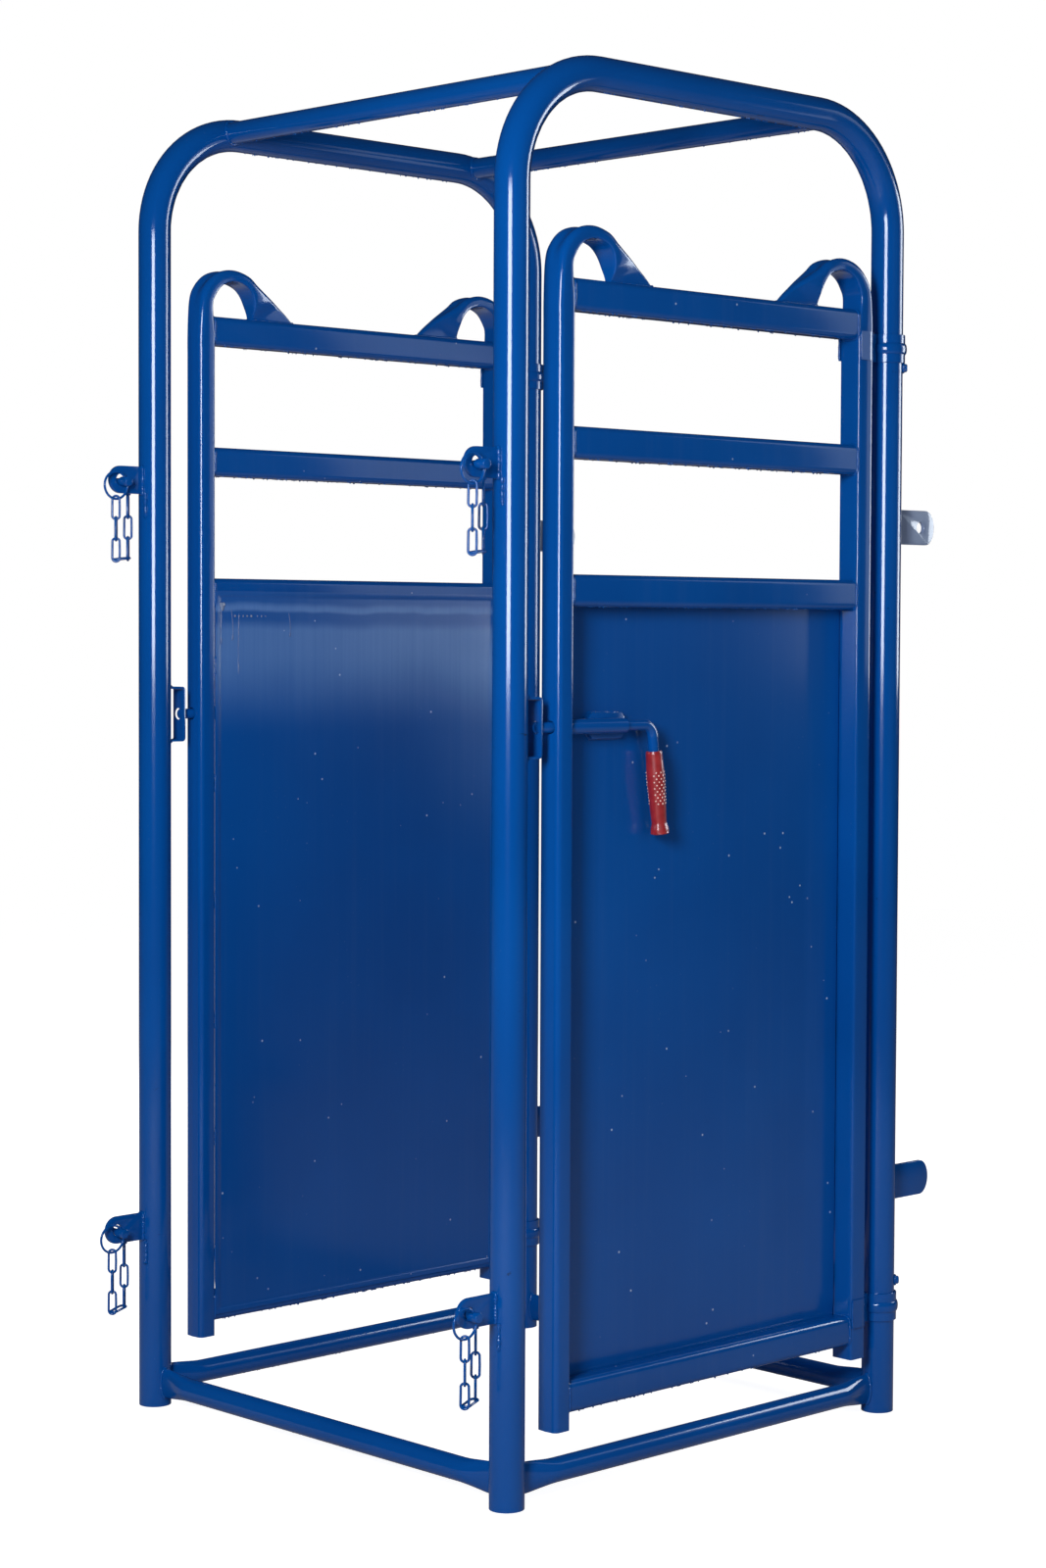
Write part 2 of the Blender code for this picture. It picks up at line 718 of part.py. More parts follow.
def gate_rail(name, side, z, pivot):
    start = LATCH_FLAT_ALONG + SEAT_GAP
    end = HINGE_FLAT_ALONG - SEAT_GAP

    def rings(wall):
        outline = rounded_box(RAIL_DEPTH / 2 - wall, RAIL_HEIGHT / 2 - wall, RAIL_CORNER - wall)
        return [[world(side, along, u, z + v) for u, v in outline] for along in (start, end)]

    return add_object(name, tube_mesh(name, rings(0.0), rings(TUBE_WALL)), pivot)


def panel(name, side, pivot):
    """The sheet on the gate's inner side, with its field pressed outwards."""
    left = LATCH_FLAT_ALONG + PANEL_SLIT
    right = HINGE_FLAT_ALONG - PANEL_SLIT
    rim_out = -(RAIL_DEPTH / 2 + SEAT_GAP)
    columns = (
        left,
        left + PANEL_LATCH_STRIP,
        left + PANEL_LATCH_STRIP + PANEL_FOLD,
        right - PANEL_HINGE_STRIP - PANEL_FOLD,
        right - PANEL_HINGE_STRIP,
        right,
    )
    rows = (
        PANEL_BOTTOM_Z,
        PANEL_BOTTOM_Z + PANEL_BOTTOM_STRIP,
        PANEL_BOTTOM_Z + PANEL_BOTTOM_STRIP + PANEL_FOLD,
        PANEL_TOP_Z - PANEL_TOP_STRIP - PANEL_FOLD,
        PANEL_TOP_Z - PANEL_TOP_STRIP,
        PANEL_TOP_Z,
    )
    bm = bmesh.new()
    sheets = []
    for back in (0.0, PANEL_THICKNESS):
        grid = []
        for j, z in enumerate(rows):
            line = []
            for i, along in enumerate(columns):
                dish = PANEL_DISH if i in (2, 3) and j in (2, 3) else 0.0
                line.append(bm.verts.new(world(side, along, rim_out - back + dish, z)))
            grid.append(line)
        for j in range(len(rows) - 1):
            for i in range(len(columns) - 1):
                bm.faces.new((grid[j][i], grid[j][i + 1], grid[j + 1][i + 1], grid[j + 1][i]))
        sheets.append(grid)
    rims = []
    for grid in sheets:
        rim = grid[0][:-1] + [line[-1] for line in grid[:-1]]
        rim += grid[-1][:0:-1] + [line[0] for line in reversed(grid[1:])]
        rims.append(rim)
    join_loops(bm, rims[0], rims[1])
    return add_object(name, finish_mesh(name, bm), pivot)


# Hinge straps: each wraps the hinge stile and runs round the post as a beaded sleeve

def strap_outline(bulge):
    """Plan points (along from the post axis, out), from a saddle tip round the post and back."""
    sleeve = POST_RADIUS + STRAP_CLEARANCE + STRAP_THICKNESS + bulge
    half_neck = STRAP_NECK / 2
    saddle_in = STILE_WIDTH / 2 + SEAT_GAP
    saddle_out = saddle_in + STRAP_THICKNESS
    nose_middle = -(GATE_HINGE_GAP + STILE_WIDTH / 2)
    flat = -(GATE_HINGE_GAP + STILE_DEPTH)
    steps = SADDLE_STEPS
    outer = [(flat, saddle_out)]
    neck_x = -math.sqrt(sleeve**2 - half_neck**2)
    saddle_end = math.asin(half_neck / saddle_out)
    for step in range(steps + 1):
        angle = math.pi / 2 - (math.pi / 2 - saddle_end) * step / steps
        outer.append((nose_middle + saddle_out * math.cos(angle), saddle_out * math.sin(angle)))
    start = math.atan2(half_neck, neck_x)
    for step in range(SLEEVE_STEPS + 1):
        angle = start - 2 * start * step / SLEEVE_STEPS
        outer.append((sleeve * math.cos(angle), sleeve * math.sin(angle)))
    for step in range(steps + 1):
        angle = -saddle_end - (math.pi / 2 - saddle_end) * step / steps
        outer.append((nose_middle + saddle_out * math.cos(angle), saddle_out * math.sin(angle)))
    outer.append((flat, -saddle_out))
    outer.append((flat, -saddle_in))
    for step in range(2 * steps + 1):
        angle = -math.pi / 2 + math.pi * step / (2 * steps)
        outer.append((nose_middle + saddle_in * math.cos(angle), saddle_in * math.sin(angle)))
    outer.append((flat, saddle_in))
    return outer


def hinge_strap(name, side, z, pivot):
    half = STRAP_HEIGHT / 2
    bead = BEAD_HEIGHT / 2
    levels = (
        (-half, 0.0),
        (-bead, 0.0),
        (-bead / 2, BEAD_DEPTH),
        (bead / 2, BEAD_DEPTH),
        (bead, 0.0),
        (half, 0.0),
    )
    rings = []
    for level, bulge in levels:
        rings.append([world(side, ALLEY_LENGTH + x, y, z + level) for x, y in strap_outline(bulge)])
    piece = add_object(name, solid_mesh(name, rings), pivot)
    reach = Vector((0, 0, STRAP_HEIGHT))
    centre = world(side, ALLEY_LENGTH, 0, z)
    drill(piece, centre - reach, centre + reach, POST_RADIUS + STRAP_CLEARANCE, POST_SIDES)
    return piece


def hinge_stop(name, side, z):
    """A short peg welded to the post that carries or holds down a strap."""
    outward = Vector((math.cos(STOP_ANGLE), -side * math.sin(STOP_ANGLE), 0))
    across = Vector((-outward.y, outward.x, 0))
    centre = world(side, ALLEY_LENGTH, 0, z)
    rings = []
    for reach, scale in ((0.0, 1.0), (STOP_REACH * STOP_ROUNDING, 1.0), (STOP_REACH, STOP_ROUNDING)):
        ring = []
        for u, v in circle(TUBE_SIDES, STOP_DIAMETER / 2):
            edge = across * (u * scale) + Vector((0, 0, v * scale))
            ring.append(centre + outward * (SEAT_RADIUS + reach) + edge)
        rings.append(ring)
    return add_object(name, solid_mesh(name, rings))


# Slide bolts

def keeper(name, side):
    """A bent strap on the front post with a hole for the bolt."""
    half = KEEPER_HEIGHT / 2

    def skin_line(post_edge, depth):
        """The strap's line from the post over its upper bend, and the same mirrored below."""
        bend = KEEPER_BEND - depth
        line = [(post_edge, half - depth)]
        for step in range(CORNER_STEPS + 1):
            angle = math.pi / 2 * (1 - step / CORNER_STEPS)
            along = KEEPER_WEB_ALONG - KEEPER_BEND + bend * math.cos(angle)
            line.append((along, half - KEEPER_BEND + bend * math.sin(angle)))
        return line + [(x, -z) for x, z in reversed(line)]

    def outline(post_edge):
        return skin_line(post_edge, 0.0) + skin_line(post_edge, KEEPER_THICKNESS)[::-1]

    rings = []
    for step in range(KEEPER_STEPS + 1):
        out = KEEPER_WIDTH * (step / KEEPER_STEPS - 0.5)
        edge = math.sqrt(SEAT_RADIUS**2 - out**2)
        rings.append([world(side, x, out, LATCH_Z + z) for x, z in outline(edge)])
    piece = add_object(name, solid_mesh(name, rings))
    start = world(side, KEEPER_WEB_ALONG - KEEPER_THICKNESS - DRILL_MARGIN, BOLT_OUT, LATCH_Z)
    end = world(side, KEEPER_WEB_ALONG + DRILL_MARGIN, BOLT_OUT, LATCH_Z)
    drill(piece, start, end, BOLT_HOLE_DIAMETER / 2)
    return piece


def handle_line():
    """The bolt's corner and the direction of its hanging leg, as (along, z)."""
    return (BOLT_CORNER_ALONG, LATCH_Z), (math.sin(HANDLE_LEAN), -math.cos(HANDLE_LEAN))


def bolt(name, side, pivot):
    corner, leg = handle_line()
    turn = math.pi / 2 - HANDLE_LEAN
    tangent = BOLT_BEND_RADIUS * math.tan(turn / 2)
    tip = KEEPER_WEB_ALONG + BOLT_TIP_GAP
    radius = BOLT_DIAMETER / 2
    path = [(tip, LATCH_Z, 0.0, radius - BOLT_BEVEL), (tip + BOLT_BEVEL, LATCH_Z, 0.0, radius)]
    for step in range(BEND_STEPS + 1):
        angle = turn * step / BEND_STEPS
        along = corner[0] - tangent + BOLT_BEND_RADIUS * math.sin(angle)
        z = LATCH_Z - BOLT_BEND_RADIUS * (1 - math.cos(angle))
        path.append((along, z, -angle, radius))
    reach = HANDLE_DROP + GRIP_LENGTH - GRIP_END_WALL - SEAT_GAP
    path.append((corner[0] + leg[0] * reach, corner[1] + leg[1] * reach, -turn, radius))
    rings = []
    for along, z, angle, size in path:
        across = Vector((-math.sin(angle), 0, math.cos(angle)))
        centre = world(side, along, BOLT_OUT, z)
        rings.append(sweep_ring(centre, across, Vector((0, 1, 0)), circle(TUBE_SIDES, size)))
    return add_object(name, solid_mesh(name, rings), pivot)


def grip(name, side, pivot):
    """A moulded sleeve, closed at its lower end, that is pushed on to the bolt's leg."""
    corner, leg = handle_line()
    across = Vector((-leg[1], 0, leg[0]))
    radius = GRIP_DIAMETER / 2
    outer_profile = [(GRIP_LENGTH * share, radius * size) for share, size in GRIP_PROFILE]
    bore = BOLT_DIAMETER / 2 + SEAT_GAP
    inner_profile = ((0.0, bore), (GRIP_LENGTH - GRIP_END_WALL, bore))

    def rings(profile):
        made = []
        for down, size in profile:
            reach = HANDLE_DROP + down
            along = corner[0] + leg[0] * reach
            centre = world(side, along, BOLT_OUT, corner[1] + leg[1] * reach)
            made.append(sweep_ring(centre, across, Vector((0, 1, 0)), circle(TUBE_SIDES, size)))
        return made

    mesh = tube_mesh(name, rings(outer_profile), rings(inner_profile), True)
    return add_object(name, mesh, pivot, colour=RED, roughness=RED_ROUGHNESS)


def guide(name, side, pivot):
    start = LATCH_FLAT_ALONG + SEAT_GAP

    def rings(radius):
        made = []
        for along in (start, start + GUIDE_LENGTH):
            points = circle(TUBE_SIDES, radius)
            made.append([world(side, along, BOLT_OUT + v, LATCH_Z + u) for u, v in points])
        return made

    radius = GUIDE_DIAMETER / 2
    return add_object(name, tube_mesh(name, rings(radius), rings(radius - GUIDE_WALL)), pivot)


def guide_bracket(name, side, pivot):
    """The plate between the guide tube and the panel."""
    front = BOLT_OUT - GUIDE_DIAMETER / 2 - SEAT_GAP
    back = -(RAIL_DEPTH / 2 + SEAT_GAP) + PANEL_DISH + SEAT_GAP
    half = BRACKET_HEIGHT / 2
    cut = BRACKET_CHAMFER
    start = BRACKET_START
    end = BRACKET_START + BRACKET_LENGTH
    outline = [
        (start + cut, half),
        (end - cut, half),
        (end, half - cut),
        (end, -half + cut),
        (end - cut, -half),
        (start + cut, -half),
        (start, -half + cut),
        (start, half - cut),
    ]
    rings = [[world(side, x, out, LATCH_Z + z) for x, z in outline] for out in (front, back)]
    return add_object(name, solid_mesh(name, rings), pivot)


# Assembly

def build_frame():
    for side, word in ((-1, "right"), (1, "left")):
        arch(side, word + "_arch")
        front = world(side, 0, 0, BOTTOM_RAIL_HEIGHT)
        rear = world(side, ALLEY_LENGTH, 0, BOTTOM_RAIL_HEIGHT)
        bottom_rail(word + "_bottom_rail", front, rear)
        keeper(word + "_keeper", side)
        radius = STOP_DIAMETER / 2
        low_strap = STRAP_HEIGHT / 2
        hinge_stop(word + "_upper_stop", side, UPPER_STRAP_Z - low_strap - SEAT_GAP - radius)
        hinge_stop(word + "_lower_stop", side, LOWER_STRAP_Z + low_strap + LOWER_STOP_LIFT + radius)
    top_tube("front_top_tube", CROSS_TUBE_INSET)
    top_tube("rear_top_tube", ALLEY_LENGTH - CROSS_TUBE_INSET)
    for along, word in ((0.0, "front"), (ALLEY_LENGTH, "rear")):
        right = world(-1, along, 0, BOTTOM_RAIL_HEIGHT)
        left = world(1, along, 0, BOTTOM_RAIL_HEIGHT)
        bottom_rail(word + "_bottom_rail", right, left)


def build_lugs():
    front = (
        ("upper", UPPER_FRONT_LUG_HOLE, UPPER_FRONT_LUG_Z),
        ("lower", LOWER_FRONT_LUG_HOLE, LOWER_FRONT_LUG_Z),
    )
    rear = (
        ("upper", UPPER_REAR_LUG_Z, REAR_LUG_HOLE_DIAMETER / 2),
        ("lower", LOWER_REAR_LUG_Z, None),
    )
    rear_outline = lug_outline(REAR_LUG_REACH - REAR_LUG_CORNER, REAR_LUG_CORNER, REAR_LUG_HEIGHT / 2)
    for side, hand in ((-1, "right"), (1, "left")):
        for level, hole_at, z in front:
            name = "front_" + hand + "_" + level
            outline = lug_outline(hole_at, FRONT_LUG_EDGE, FRONT_LUG_HEIGHT / 2)
            lug(name + "_lug", side, 0.0, -1, z, outline, hole_at, FRONT_LUG_HOLE_DIAMETER / 2)
            pin_x, pin_z = pin_centre(hole_at, z)
            head = Vector((FRONT_X - pin_x, side * HALF_WIDTH - head_cross_y(), pin_z))
            pin_pivot = add_pivot(name + "_pin_axis", head)
            ring_pivot = add_pivot(name + "_ring_axis", head, pin_pivot)
            lynch_pin(name + "_pin", side, pin_x, pin_z, pin_pivot)
            pin_ring(name + "_ring", side, pin_x, pin_z, ring_pivot)
            tether_chain(name + "_chain", side, pin_x, z, pin_z)
        for level, z, hole in rear:
            name = "rear_" + hand + "_" + level + "_lug"
            lug(name, side, ALLEY_LENGTH, 1, z, rear_outline, REAR_LUG_HOLE, hole)


def build_gate(side, hand):
    pivot = add_pivot(hand + "_gate_axis", world(side, ALLEY_LENGTH, 0, 0))
    latch = stile(hand + "_latch_stile", side, GATE_NOSE_GAP, 1, pivot)
    start = world(side, GATE_NOSE_GAP - DRILL_MARGIN, BOLT_OUT, LATCH_Z)
    end = world(side, LATCH_FLAT_ALONG + DRILL_MARGIN, BOLT_OUT, LATCH_Z)
    drill(latch, start, end, BOLT_HOLE_DIAMETER / 2)
    stile(hand + "_hinge_stile", side, ALLEY_LENGTH - GATE_HINGE_GAP, -1, pivot)
    for level, z in (
        ("top", TOP_RAIL_Z),
        ("middle", MIDDLE_RAIL_Z),
        ("lower", LOWER_RAIL_Z),
        ("bottom", BOTTOM_RAIL_Z),
    ):
        gate_rail(hand + "_gate_" + level + "_rail", side, z, pivot)
    panel(hand + "_gate_panel", side, pivot)
    hinge_strap(hand + "_upper_strap", side, UPPER_STRAP_Z, pivot)
    hinge_strap(hand + "_lower_strap", side, LOWER_STRAP_Z, pivot)
    guide(hand + "_latch_guide", side, pivot)
    guide_bracket(hand + "_guide_bracket", side, pivot)
    slide = add_pivot(hand + "_bolt_axis", world(side, BOLT_CORNER_ALONG, BOLT_OUT, LATCH_Z), pivot)
    bolt(hand + "_bolt", side, slide)
    grip(hand + "_grip", side, slide)


def main():
    clear_scene()
    build_frame()
    build_lugs()
    build_gate(-1, "right")
    build_gate(1, "left")


main()
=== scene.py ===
import json
import math

import bmesh
import bpy
from mathutils import Matrix, Vector

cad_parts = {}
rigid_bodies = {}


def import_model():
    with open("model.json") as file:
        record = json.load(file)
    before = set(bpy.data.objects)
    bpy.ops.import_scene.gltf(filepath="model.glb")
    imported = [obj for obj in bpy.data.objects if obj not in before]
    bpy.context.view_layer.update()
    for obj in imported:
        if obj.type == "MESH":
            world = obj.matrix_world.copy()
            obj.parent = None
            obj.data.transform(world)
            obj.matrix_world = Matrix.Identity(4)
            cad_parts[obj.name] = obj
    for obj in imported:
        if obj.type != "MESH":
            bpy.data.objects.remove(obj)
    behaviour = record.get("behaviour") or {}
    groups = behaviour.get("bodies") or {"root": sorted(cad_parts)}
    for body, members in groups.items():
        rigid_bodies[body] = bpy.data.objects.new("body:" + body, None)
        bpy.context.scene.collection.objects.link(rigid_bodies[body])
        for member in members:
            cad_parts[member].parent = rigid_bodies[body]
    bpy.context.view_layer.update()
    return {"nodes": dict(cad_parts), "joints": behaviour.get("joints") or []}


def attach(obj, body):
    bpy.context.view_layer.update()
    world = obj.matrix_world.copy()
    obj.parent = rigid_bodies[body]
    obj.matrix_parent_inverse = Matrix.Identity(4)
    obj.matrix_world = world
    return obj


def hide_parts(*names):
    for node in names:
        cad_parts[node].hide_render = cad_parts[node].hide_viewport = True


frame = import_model()
print("frame loaded,", len(frame["nodes"]), "nodes")

joints = {joint["name"]: joint for joint in frame["joints"]}
rearX, rightY, _ = joints["right_gate_swing"]["pos_m"]
halfWidth = -rightY
sides = {"right": -1, "left": 1}
levels = ("upper", "lower")

cage = {
    "length": 0.8096,  # front post axis to rear post axis
    "archAxisHeight": 2.0286,
    "postRadius": 0.0254,
    "postWall": 0.003,
    "bendRadius": 0.168,
    "bendSteps": 22,
    "bendLead": 0.02,  # where the straight post ends, below the bend
    "wrinkle": 0.0005,  # ripples on the inner side of each bend
    "wrinkleCount": 9,
    "seatGap": 0.0003,
}
span, archZ, postRadius, seatGap = (cage[key] for key in ("length", "archAxisHeight", "postRadius", "seatGap"))
frontX = rearX - span
seatRadius = postRadius + seatGap


def world(side, along, out, z):  # along from the front posts, out from a gate's middle plane
    return Vector((frontX + along, side * (halfWidth + out), z))


def lift(z):
    return Vector((0, 0, z))


def arc(start, end, steps):  # evenly spread values from start to end
    return [start + (end - start) * step / steps for step in range(steps + 1)]


def circle(count, radius):
    return [(radius * math.cos(turn), radius * math.sin(turn)) for turn in arc(0, 2 * math.pi, count)[:-1]]


def eased(share):
    share = min(max(share, 0.0), 1.0)
    return share * share * (3 - 2 * share)


# node helpers


class Wire:  # one socket's value, with sums written as Python expressions
    def __init__(self, nodes, socket):
        self.nodes = nodes
        self.socket = socket

    def math(self, operation, *values):
        return self.nodes.make("ShaderNodeMath", {"operation": operation}, dict(enumerate(values)))

    def __add__(self, other):
        return self.math("ADD", self, other)

    def __sub__(self, other):
        return self.math("SUBTRACT", self, other)

    def __rsub__(self, other):
        return self.math("SUBTRACT", other, self)

    def __mul__(self, other):
        return self.math("MULTIPLY", self, other)

    __radd__ = __add__
    __rmul__ = __mul__


class Nodes:
    def __init__(self, tree):
        self.tree = tree

    def make(self, kind, settings=None, values=None, output=0):
        node = self.tree.nodes.new(kind)
        for key, value in (settings or {}).items():
            setattr(node, key, value)
        self.feed(node, values or {})
        return Wire(self, node.outputs[output])

    def feed(self, node, values):
        for key, value in values.items():
            if isinstance(value, Wire):
                self.tree.links.new(value.socket, node.inputs[key])
            else:
                node.inputs[key].default_value = value


class Shader(Nodes):
    def __init__(self, name):
        self.material = bpy.data.materials.new(name)
        self.material.use_nodes = True
        super().__init__(self.material.node_tree)
        self.place = self.make("ShaderNodeTexCoord", output="Object")

    def part(self, axis):
        return self.make("ShaderNodeSeparateXYZ", values={"Vector": self.place}, output=axis)

    def noise(self, scale, detail=2.0, stretch=None, roughness=0.5):  # stretch scales each axis first
        place = self.place
        if stretch:
            place = self.make("ShaderNodeMapping", {"vector_type": "POINT"}, {"Vector": place, "Scale": stretch})
        values = {"Vector": place, "Scale": scale, "Detail": detail, "Roughness": roughness}
        return self.make("ShaderNodeTexNoise", {"noise_dimensions": "3D"}, values)

    def ramp(self, value, low, high):  # 0 below low, 1 above high
        values = {"Value": value, "From Min": low, "From Max": high}
        return self.make("ShaderNodeMapRange", {"interpolation_type": "SMOOTHSTEP"}, values)

    def cells(self, scale):
        values = {"Vector": self.place, "Scale": scale}
        return self.make("ShaderNodeTexVoronoi", {"feature": "F1"}, values, "Distance")

    def mix(self, share, first, second):
        return self.make("ShaderNodeMix", {"data_type": "RGBA"}, {"Factor": share, 6: first, 7: second}, 2)

    def bump(self, height, strength, distance, **below):
        values = {"Height": height, "Strength": strength, "Distance": distance, **below}
        return self.make("ShaderNodeBump", values=values)

    def finish(self, **values):
        named = {key.replace("_", " "): value for key, value in values.items()}
        self.feed(self.tree.nodes["Principled BSDF"], named)
        return self.material


bluePaint = {
    "deep": (0.0005, 0.068, 0.315, 1),
    "bright": (0.0008, 0.081, 0.362, 1),
    "chalk": (0.050, 0.135, 0.390, 1),  # where overspray has dried dull
    "filmAndHighlight": (0.27, 0.33, 0.47, 1),
    "speck": (0.42, 0.54, 0.74, 1),
    # painted sheen: the pale reflection colour on the sheet's inner face
    "paintedSheen": (0.22, 0.42, 0.80, 1),
    "worn": (0.004, 0.018, 0.050, 1),
    "roughness": 0.34,
    "specular": 0.0,
    "coat": 1.0,
    "coatRoughness": 0.11,
    "peelScale": 210,
    "peelStrength": 0.035,
    "nibScale": 75,  # specks of dried spray under the gloss
    "innerFace": 0.0003,  # half the depth in which the painted sheen shows
}


def paintedSheenOf(paint, face):  # painted sheen: a pale reflection painted on the top of the sheet's inner face, along its hinge side and in a line under the rail, streaked
    out, up = paint.part("Y"), paint.part("Z")
    deep = bluePaint["innerFace"]
    inside = 1 - paint.ramp(out * out, (face - deep) ** 2, (face + deep) ** 2)
    wave = up + 0.016 * paint.noise(1.0, 2.0, (9, 9, 1.0))
    field = paint.ramp(up, 1.06, 1.21) * (1 - 0.85 * paint.ramp(wave, 1.240, 1.262))
    line = 0.9 * paint.ramp(wave, 1.270, 1.276) * (1 - paint.ramp(wave, 1.278, 1.290))
    hingeSide = 0.7 * paint.ramp(paint.part("X"), 0.10, 0.40)
    hingeSide = hingeSide * paint.ramp(up, 0.80, 1.16) * (1 - paint.ramp(up, 1.16, 1.22))
    comb = paint.noise(1.0, 5.0, (110, 110, 1.3), 0.7)
    patchy = paint.ramp(paint.noise(4.0), 0.25, 0.70)
    return inside * (field + line + hingeSide) * (0.10 + 0.24 * comb + 0.14 * patchy)


def paintBlue(
    name, nibs=0.0, peel=1.0, streaks=0.0, scuffs=0.0, combed=0.0, haze=0.0, dust=0.0, face=0.0, blur=0.0
):
    paint = Shader(name)
    cloud = paint.noise(2.3, 3.0)
    colour = paint.mix(paint.ramp(cloud, 0.3, 0.7), bluePaint["deep"], bluePaint["bright"])
    if haze:  # pale film over the whole piece: the upper rear lugs' own pale tone, and painted highlight on the sheet's drops, pool and runs
        colour = paint.mix(haze * (0.8 + 0.2 * cloud), colour, bluePaint["filmAndHighlight"])
    if streaks:
        runs = paint.ramp(paint.noise(1.0, 4.0, (46, 46, 1.1), 0.6), 0.46, 0.78)
        colour = paint.mix(runs * streaks, colour, bluePaint["chalk"])
    patch = paint.ramp(paint.noise(9), 0.50, 0.72)
    nib = (1 - paint.ramp(paint.cells(bluePaint["nibScale"]), 0.05, 0.13)) * patch
    colour = paint.mix(nib * (0.5 * nibs), colour, bluePaint["chalk"])
    # painted sheen on the sheet's inner face
    if face:
        colour = paint.mix(paintedSheenOf(paint, face), colour, bluePaint["paintedSheen"])
    if dust:  # a few pale specks
        patch = paint.ramp(paint.noise(7, 1.0), 0.46, 0.54)
        grain = (1 - paint.ramp(paint.cells(34), 0.040, 0.070)) * patch
        colour = paint.mix(grain * dust, colour, bluePaint["speck"])
    roughness = bluePaint["roughness"] + 0.10 * paint.ramp(paint.noise(14, 4.0), 0.35, 0.75)
    if scuffs:
        scratch = paint.ramp(paint.noise(1.0, 5.0, (12, 60, 60), 0.7), 0.66, 0.70)
        worn = scratch * paint.ramp(paint.noise(5, 1.0), 0.52, 0.60)
        colour = paint.mix(worn * scuffs, colour, bluePaint["worn"])
        roughness = roughness + worn * 0.3
    height = paint.noise(bluePaint["peelScale"]) + nib * (1.6 * nibs)
    normal = paint.bump(height, bluePaint["peelStrength"] * peel, 0.0008)
    if combed:  # long runs that only show in the gloss
        normal = paint.bump(paint.noise(1.0, 3.0, (120, 120, 1.6), 0.6), combed, 0.002, Normal=normal)
    return paint.finish(
        Base_Color=colour,
        Roughness=roughness,
        Normal=normal,
        Coat_Weight=bluePaint["coat"],
        Coat_Roughness=bluePaint["coatRoughness"] + blur,
        Specular_IOR_Level=bluePaint["specular"],
    )


def paintVinyl(name, deep, worn):
    vinyl = Shader(name)
    cloud = vinyl.noise(90, 3.0)
    return vinyl.finish(
        Base_Color=vinyl.mix(vinyl.ramp(cloud, 0.35, 0.7), deep, worn),
        Roughness=0.30 + 0.1 * cloud,
        Normal=vinyl.bump(vinyl.noise(900), 0.12, 0.0004),
        Coat_Weight=0.35,
        Coat_Roughness=0.12,
    )


tubePaint = paintBlue("tubePaint", 0.6)
archPaint = paintBlue("archPaint", 0.6, scuffs=0.8)
railPaint = paintBlue("railPaint", 0.6, streaks=0.10, combed=0.05, dust=0.8)
smallPaint = paintBlue("smallPaint", 0.3, 1.6)
# pale film: the upper rear lugs' own tone, and painted highlight on the sheet's drops and pool
dullPaint = paintBlue("dullPaint", 1.0, haze=0.9)
# painted highlight: a pale film that lightens the runs on the sheet
driedPaint = paintBlue("driedPaint", haze=0.5)
beadPaint = paintBlue("beadPaint", 0.0, 2.2)
redVinyl = paintVinyl("redVinyl", (0.28, 0.012, 0.016, 1), (0.36, 0.021, 0.024, 1))
paleVinyl = paintVinyl("paleVinyl", (0.80, 0.50, 0.46, 1), (0.95, 0.76, 0.72, 1))
print("materials made")


# mesh helpers


def skin(bm, rings):
    rows = [[bm.verts.new(point) for point in ring] for ring in rings]
    for low, high in zip(rows, rows[1:]):
        joinLoops(bm, low, high)
    return rows


def joinLoops(bm, low, high):
    for i in range(len(low)):
        j = (i + 1) % len(low)
        bm.faces.new((low[i], low[j], high[j], high[i]))


def show(name, data):
    made = bpy.data.objects.new(name, data)
    bpy.context.scene.collection.objects.link(made)
    return made


def newObject(name, bm):
    bmesh.ops.remove_doubles(bm, verts=bm.verts, dist=1e-7)
    bmesh.ops.recalc_face_normals(bm, faces=bm.faces)
    if bm.calc_volume(signed=True) < 0:
        bmesh.ops.reverse_faces(bm, faces=bm.faces)
    mesh = bpy.data.meshes.new(name)
    bm.to_mesh(mesh)
    bm.free()
    return show(name, mesh)


def solid(name, rings):
    bm = bmesh.new()
    rows = skin(bm, rings)
    bm.faces.new(rows[0])
    bm.faces.new(rows[-1])
    return newObject(name, bm)


def tube(name, outer, inner, closedEnd=False):
    bm = bmesh.new()
    outRows = skin(bm, outer)
    inRows = skin(bm, inner)
    joinLoops(bm, outRows[0], inRows[0])
    if closedEnd:
        bm.faces.new(outRows[-1])
        bm.faces.new(inRows[-1])
    else:
        joinLoops(bm, outRows[-1], inRows[-1])
    return newObject(name, bm)


def baked(thing):  # the evaluated mesh takes the place of the modifiers
    graph = bpy.context.evaluated_depsgraph_get()
    mesh = bpy.data.meshes.new_from_object(thing.evaluated_get(graph))
    thing.modifiers.clear()
    thing.data = mesh
    return thing


def bevel(thing, width, segments=3, angle=40):
    cut = thing.modifiers.new("edges", "BEVEL")
    cut.width = width
    cut.segments = segments
    cut.limit_method = "ANGLE"
    cut.angle_limit = math.radians(angle)
    return baked(thing)


drillPast = 0.01  # how far a drill goes beyond a thin wall


def drill(thing, start, end, radius, count=40):
    run = end - start
    bm = bmesh.new()
    bmesh.ops.create_cone(bm, cap_ends=True, segments=count, radius1=radius, radius2=radius, depth=run.length)
    turn = run.to_track_quat("Z", "Y").to_matrix().to_4x4()
    bmesh.ops.transform(bm, verts=bm.verts, matrix=Matrix.Translation((start + end) / 2) @ turn)
    cutter = newObject("cutter", bm)
    cut = thing.modifiers.new("hole", "BOOLEAN")
    cut.operation = "DIFFERENCE"
    cut.solver = "EXACT"
    cut.object = cutter
    baked(thing)
    bpy.data.objects.remove(cutter)
    return thing


def dress(thing, material, body, *nodes, slot="blue_paint", angle=35):
    thing.data.materials.clear()
    thing.data.materials.append(material)
    thing.data.shade_smooth()
    thing.data.set_sharp_from_angle(angle=math.radians(angle))
    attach(thing, body)
    if nodes:
        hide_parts(*nodes)


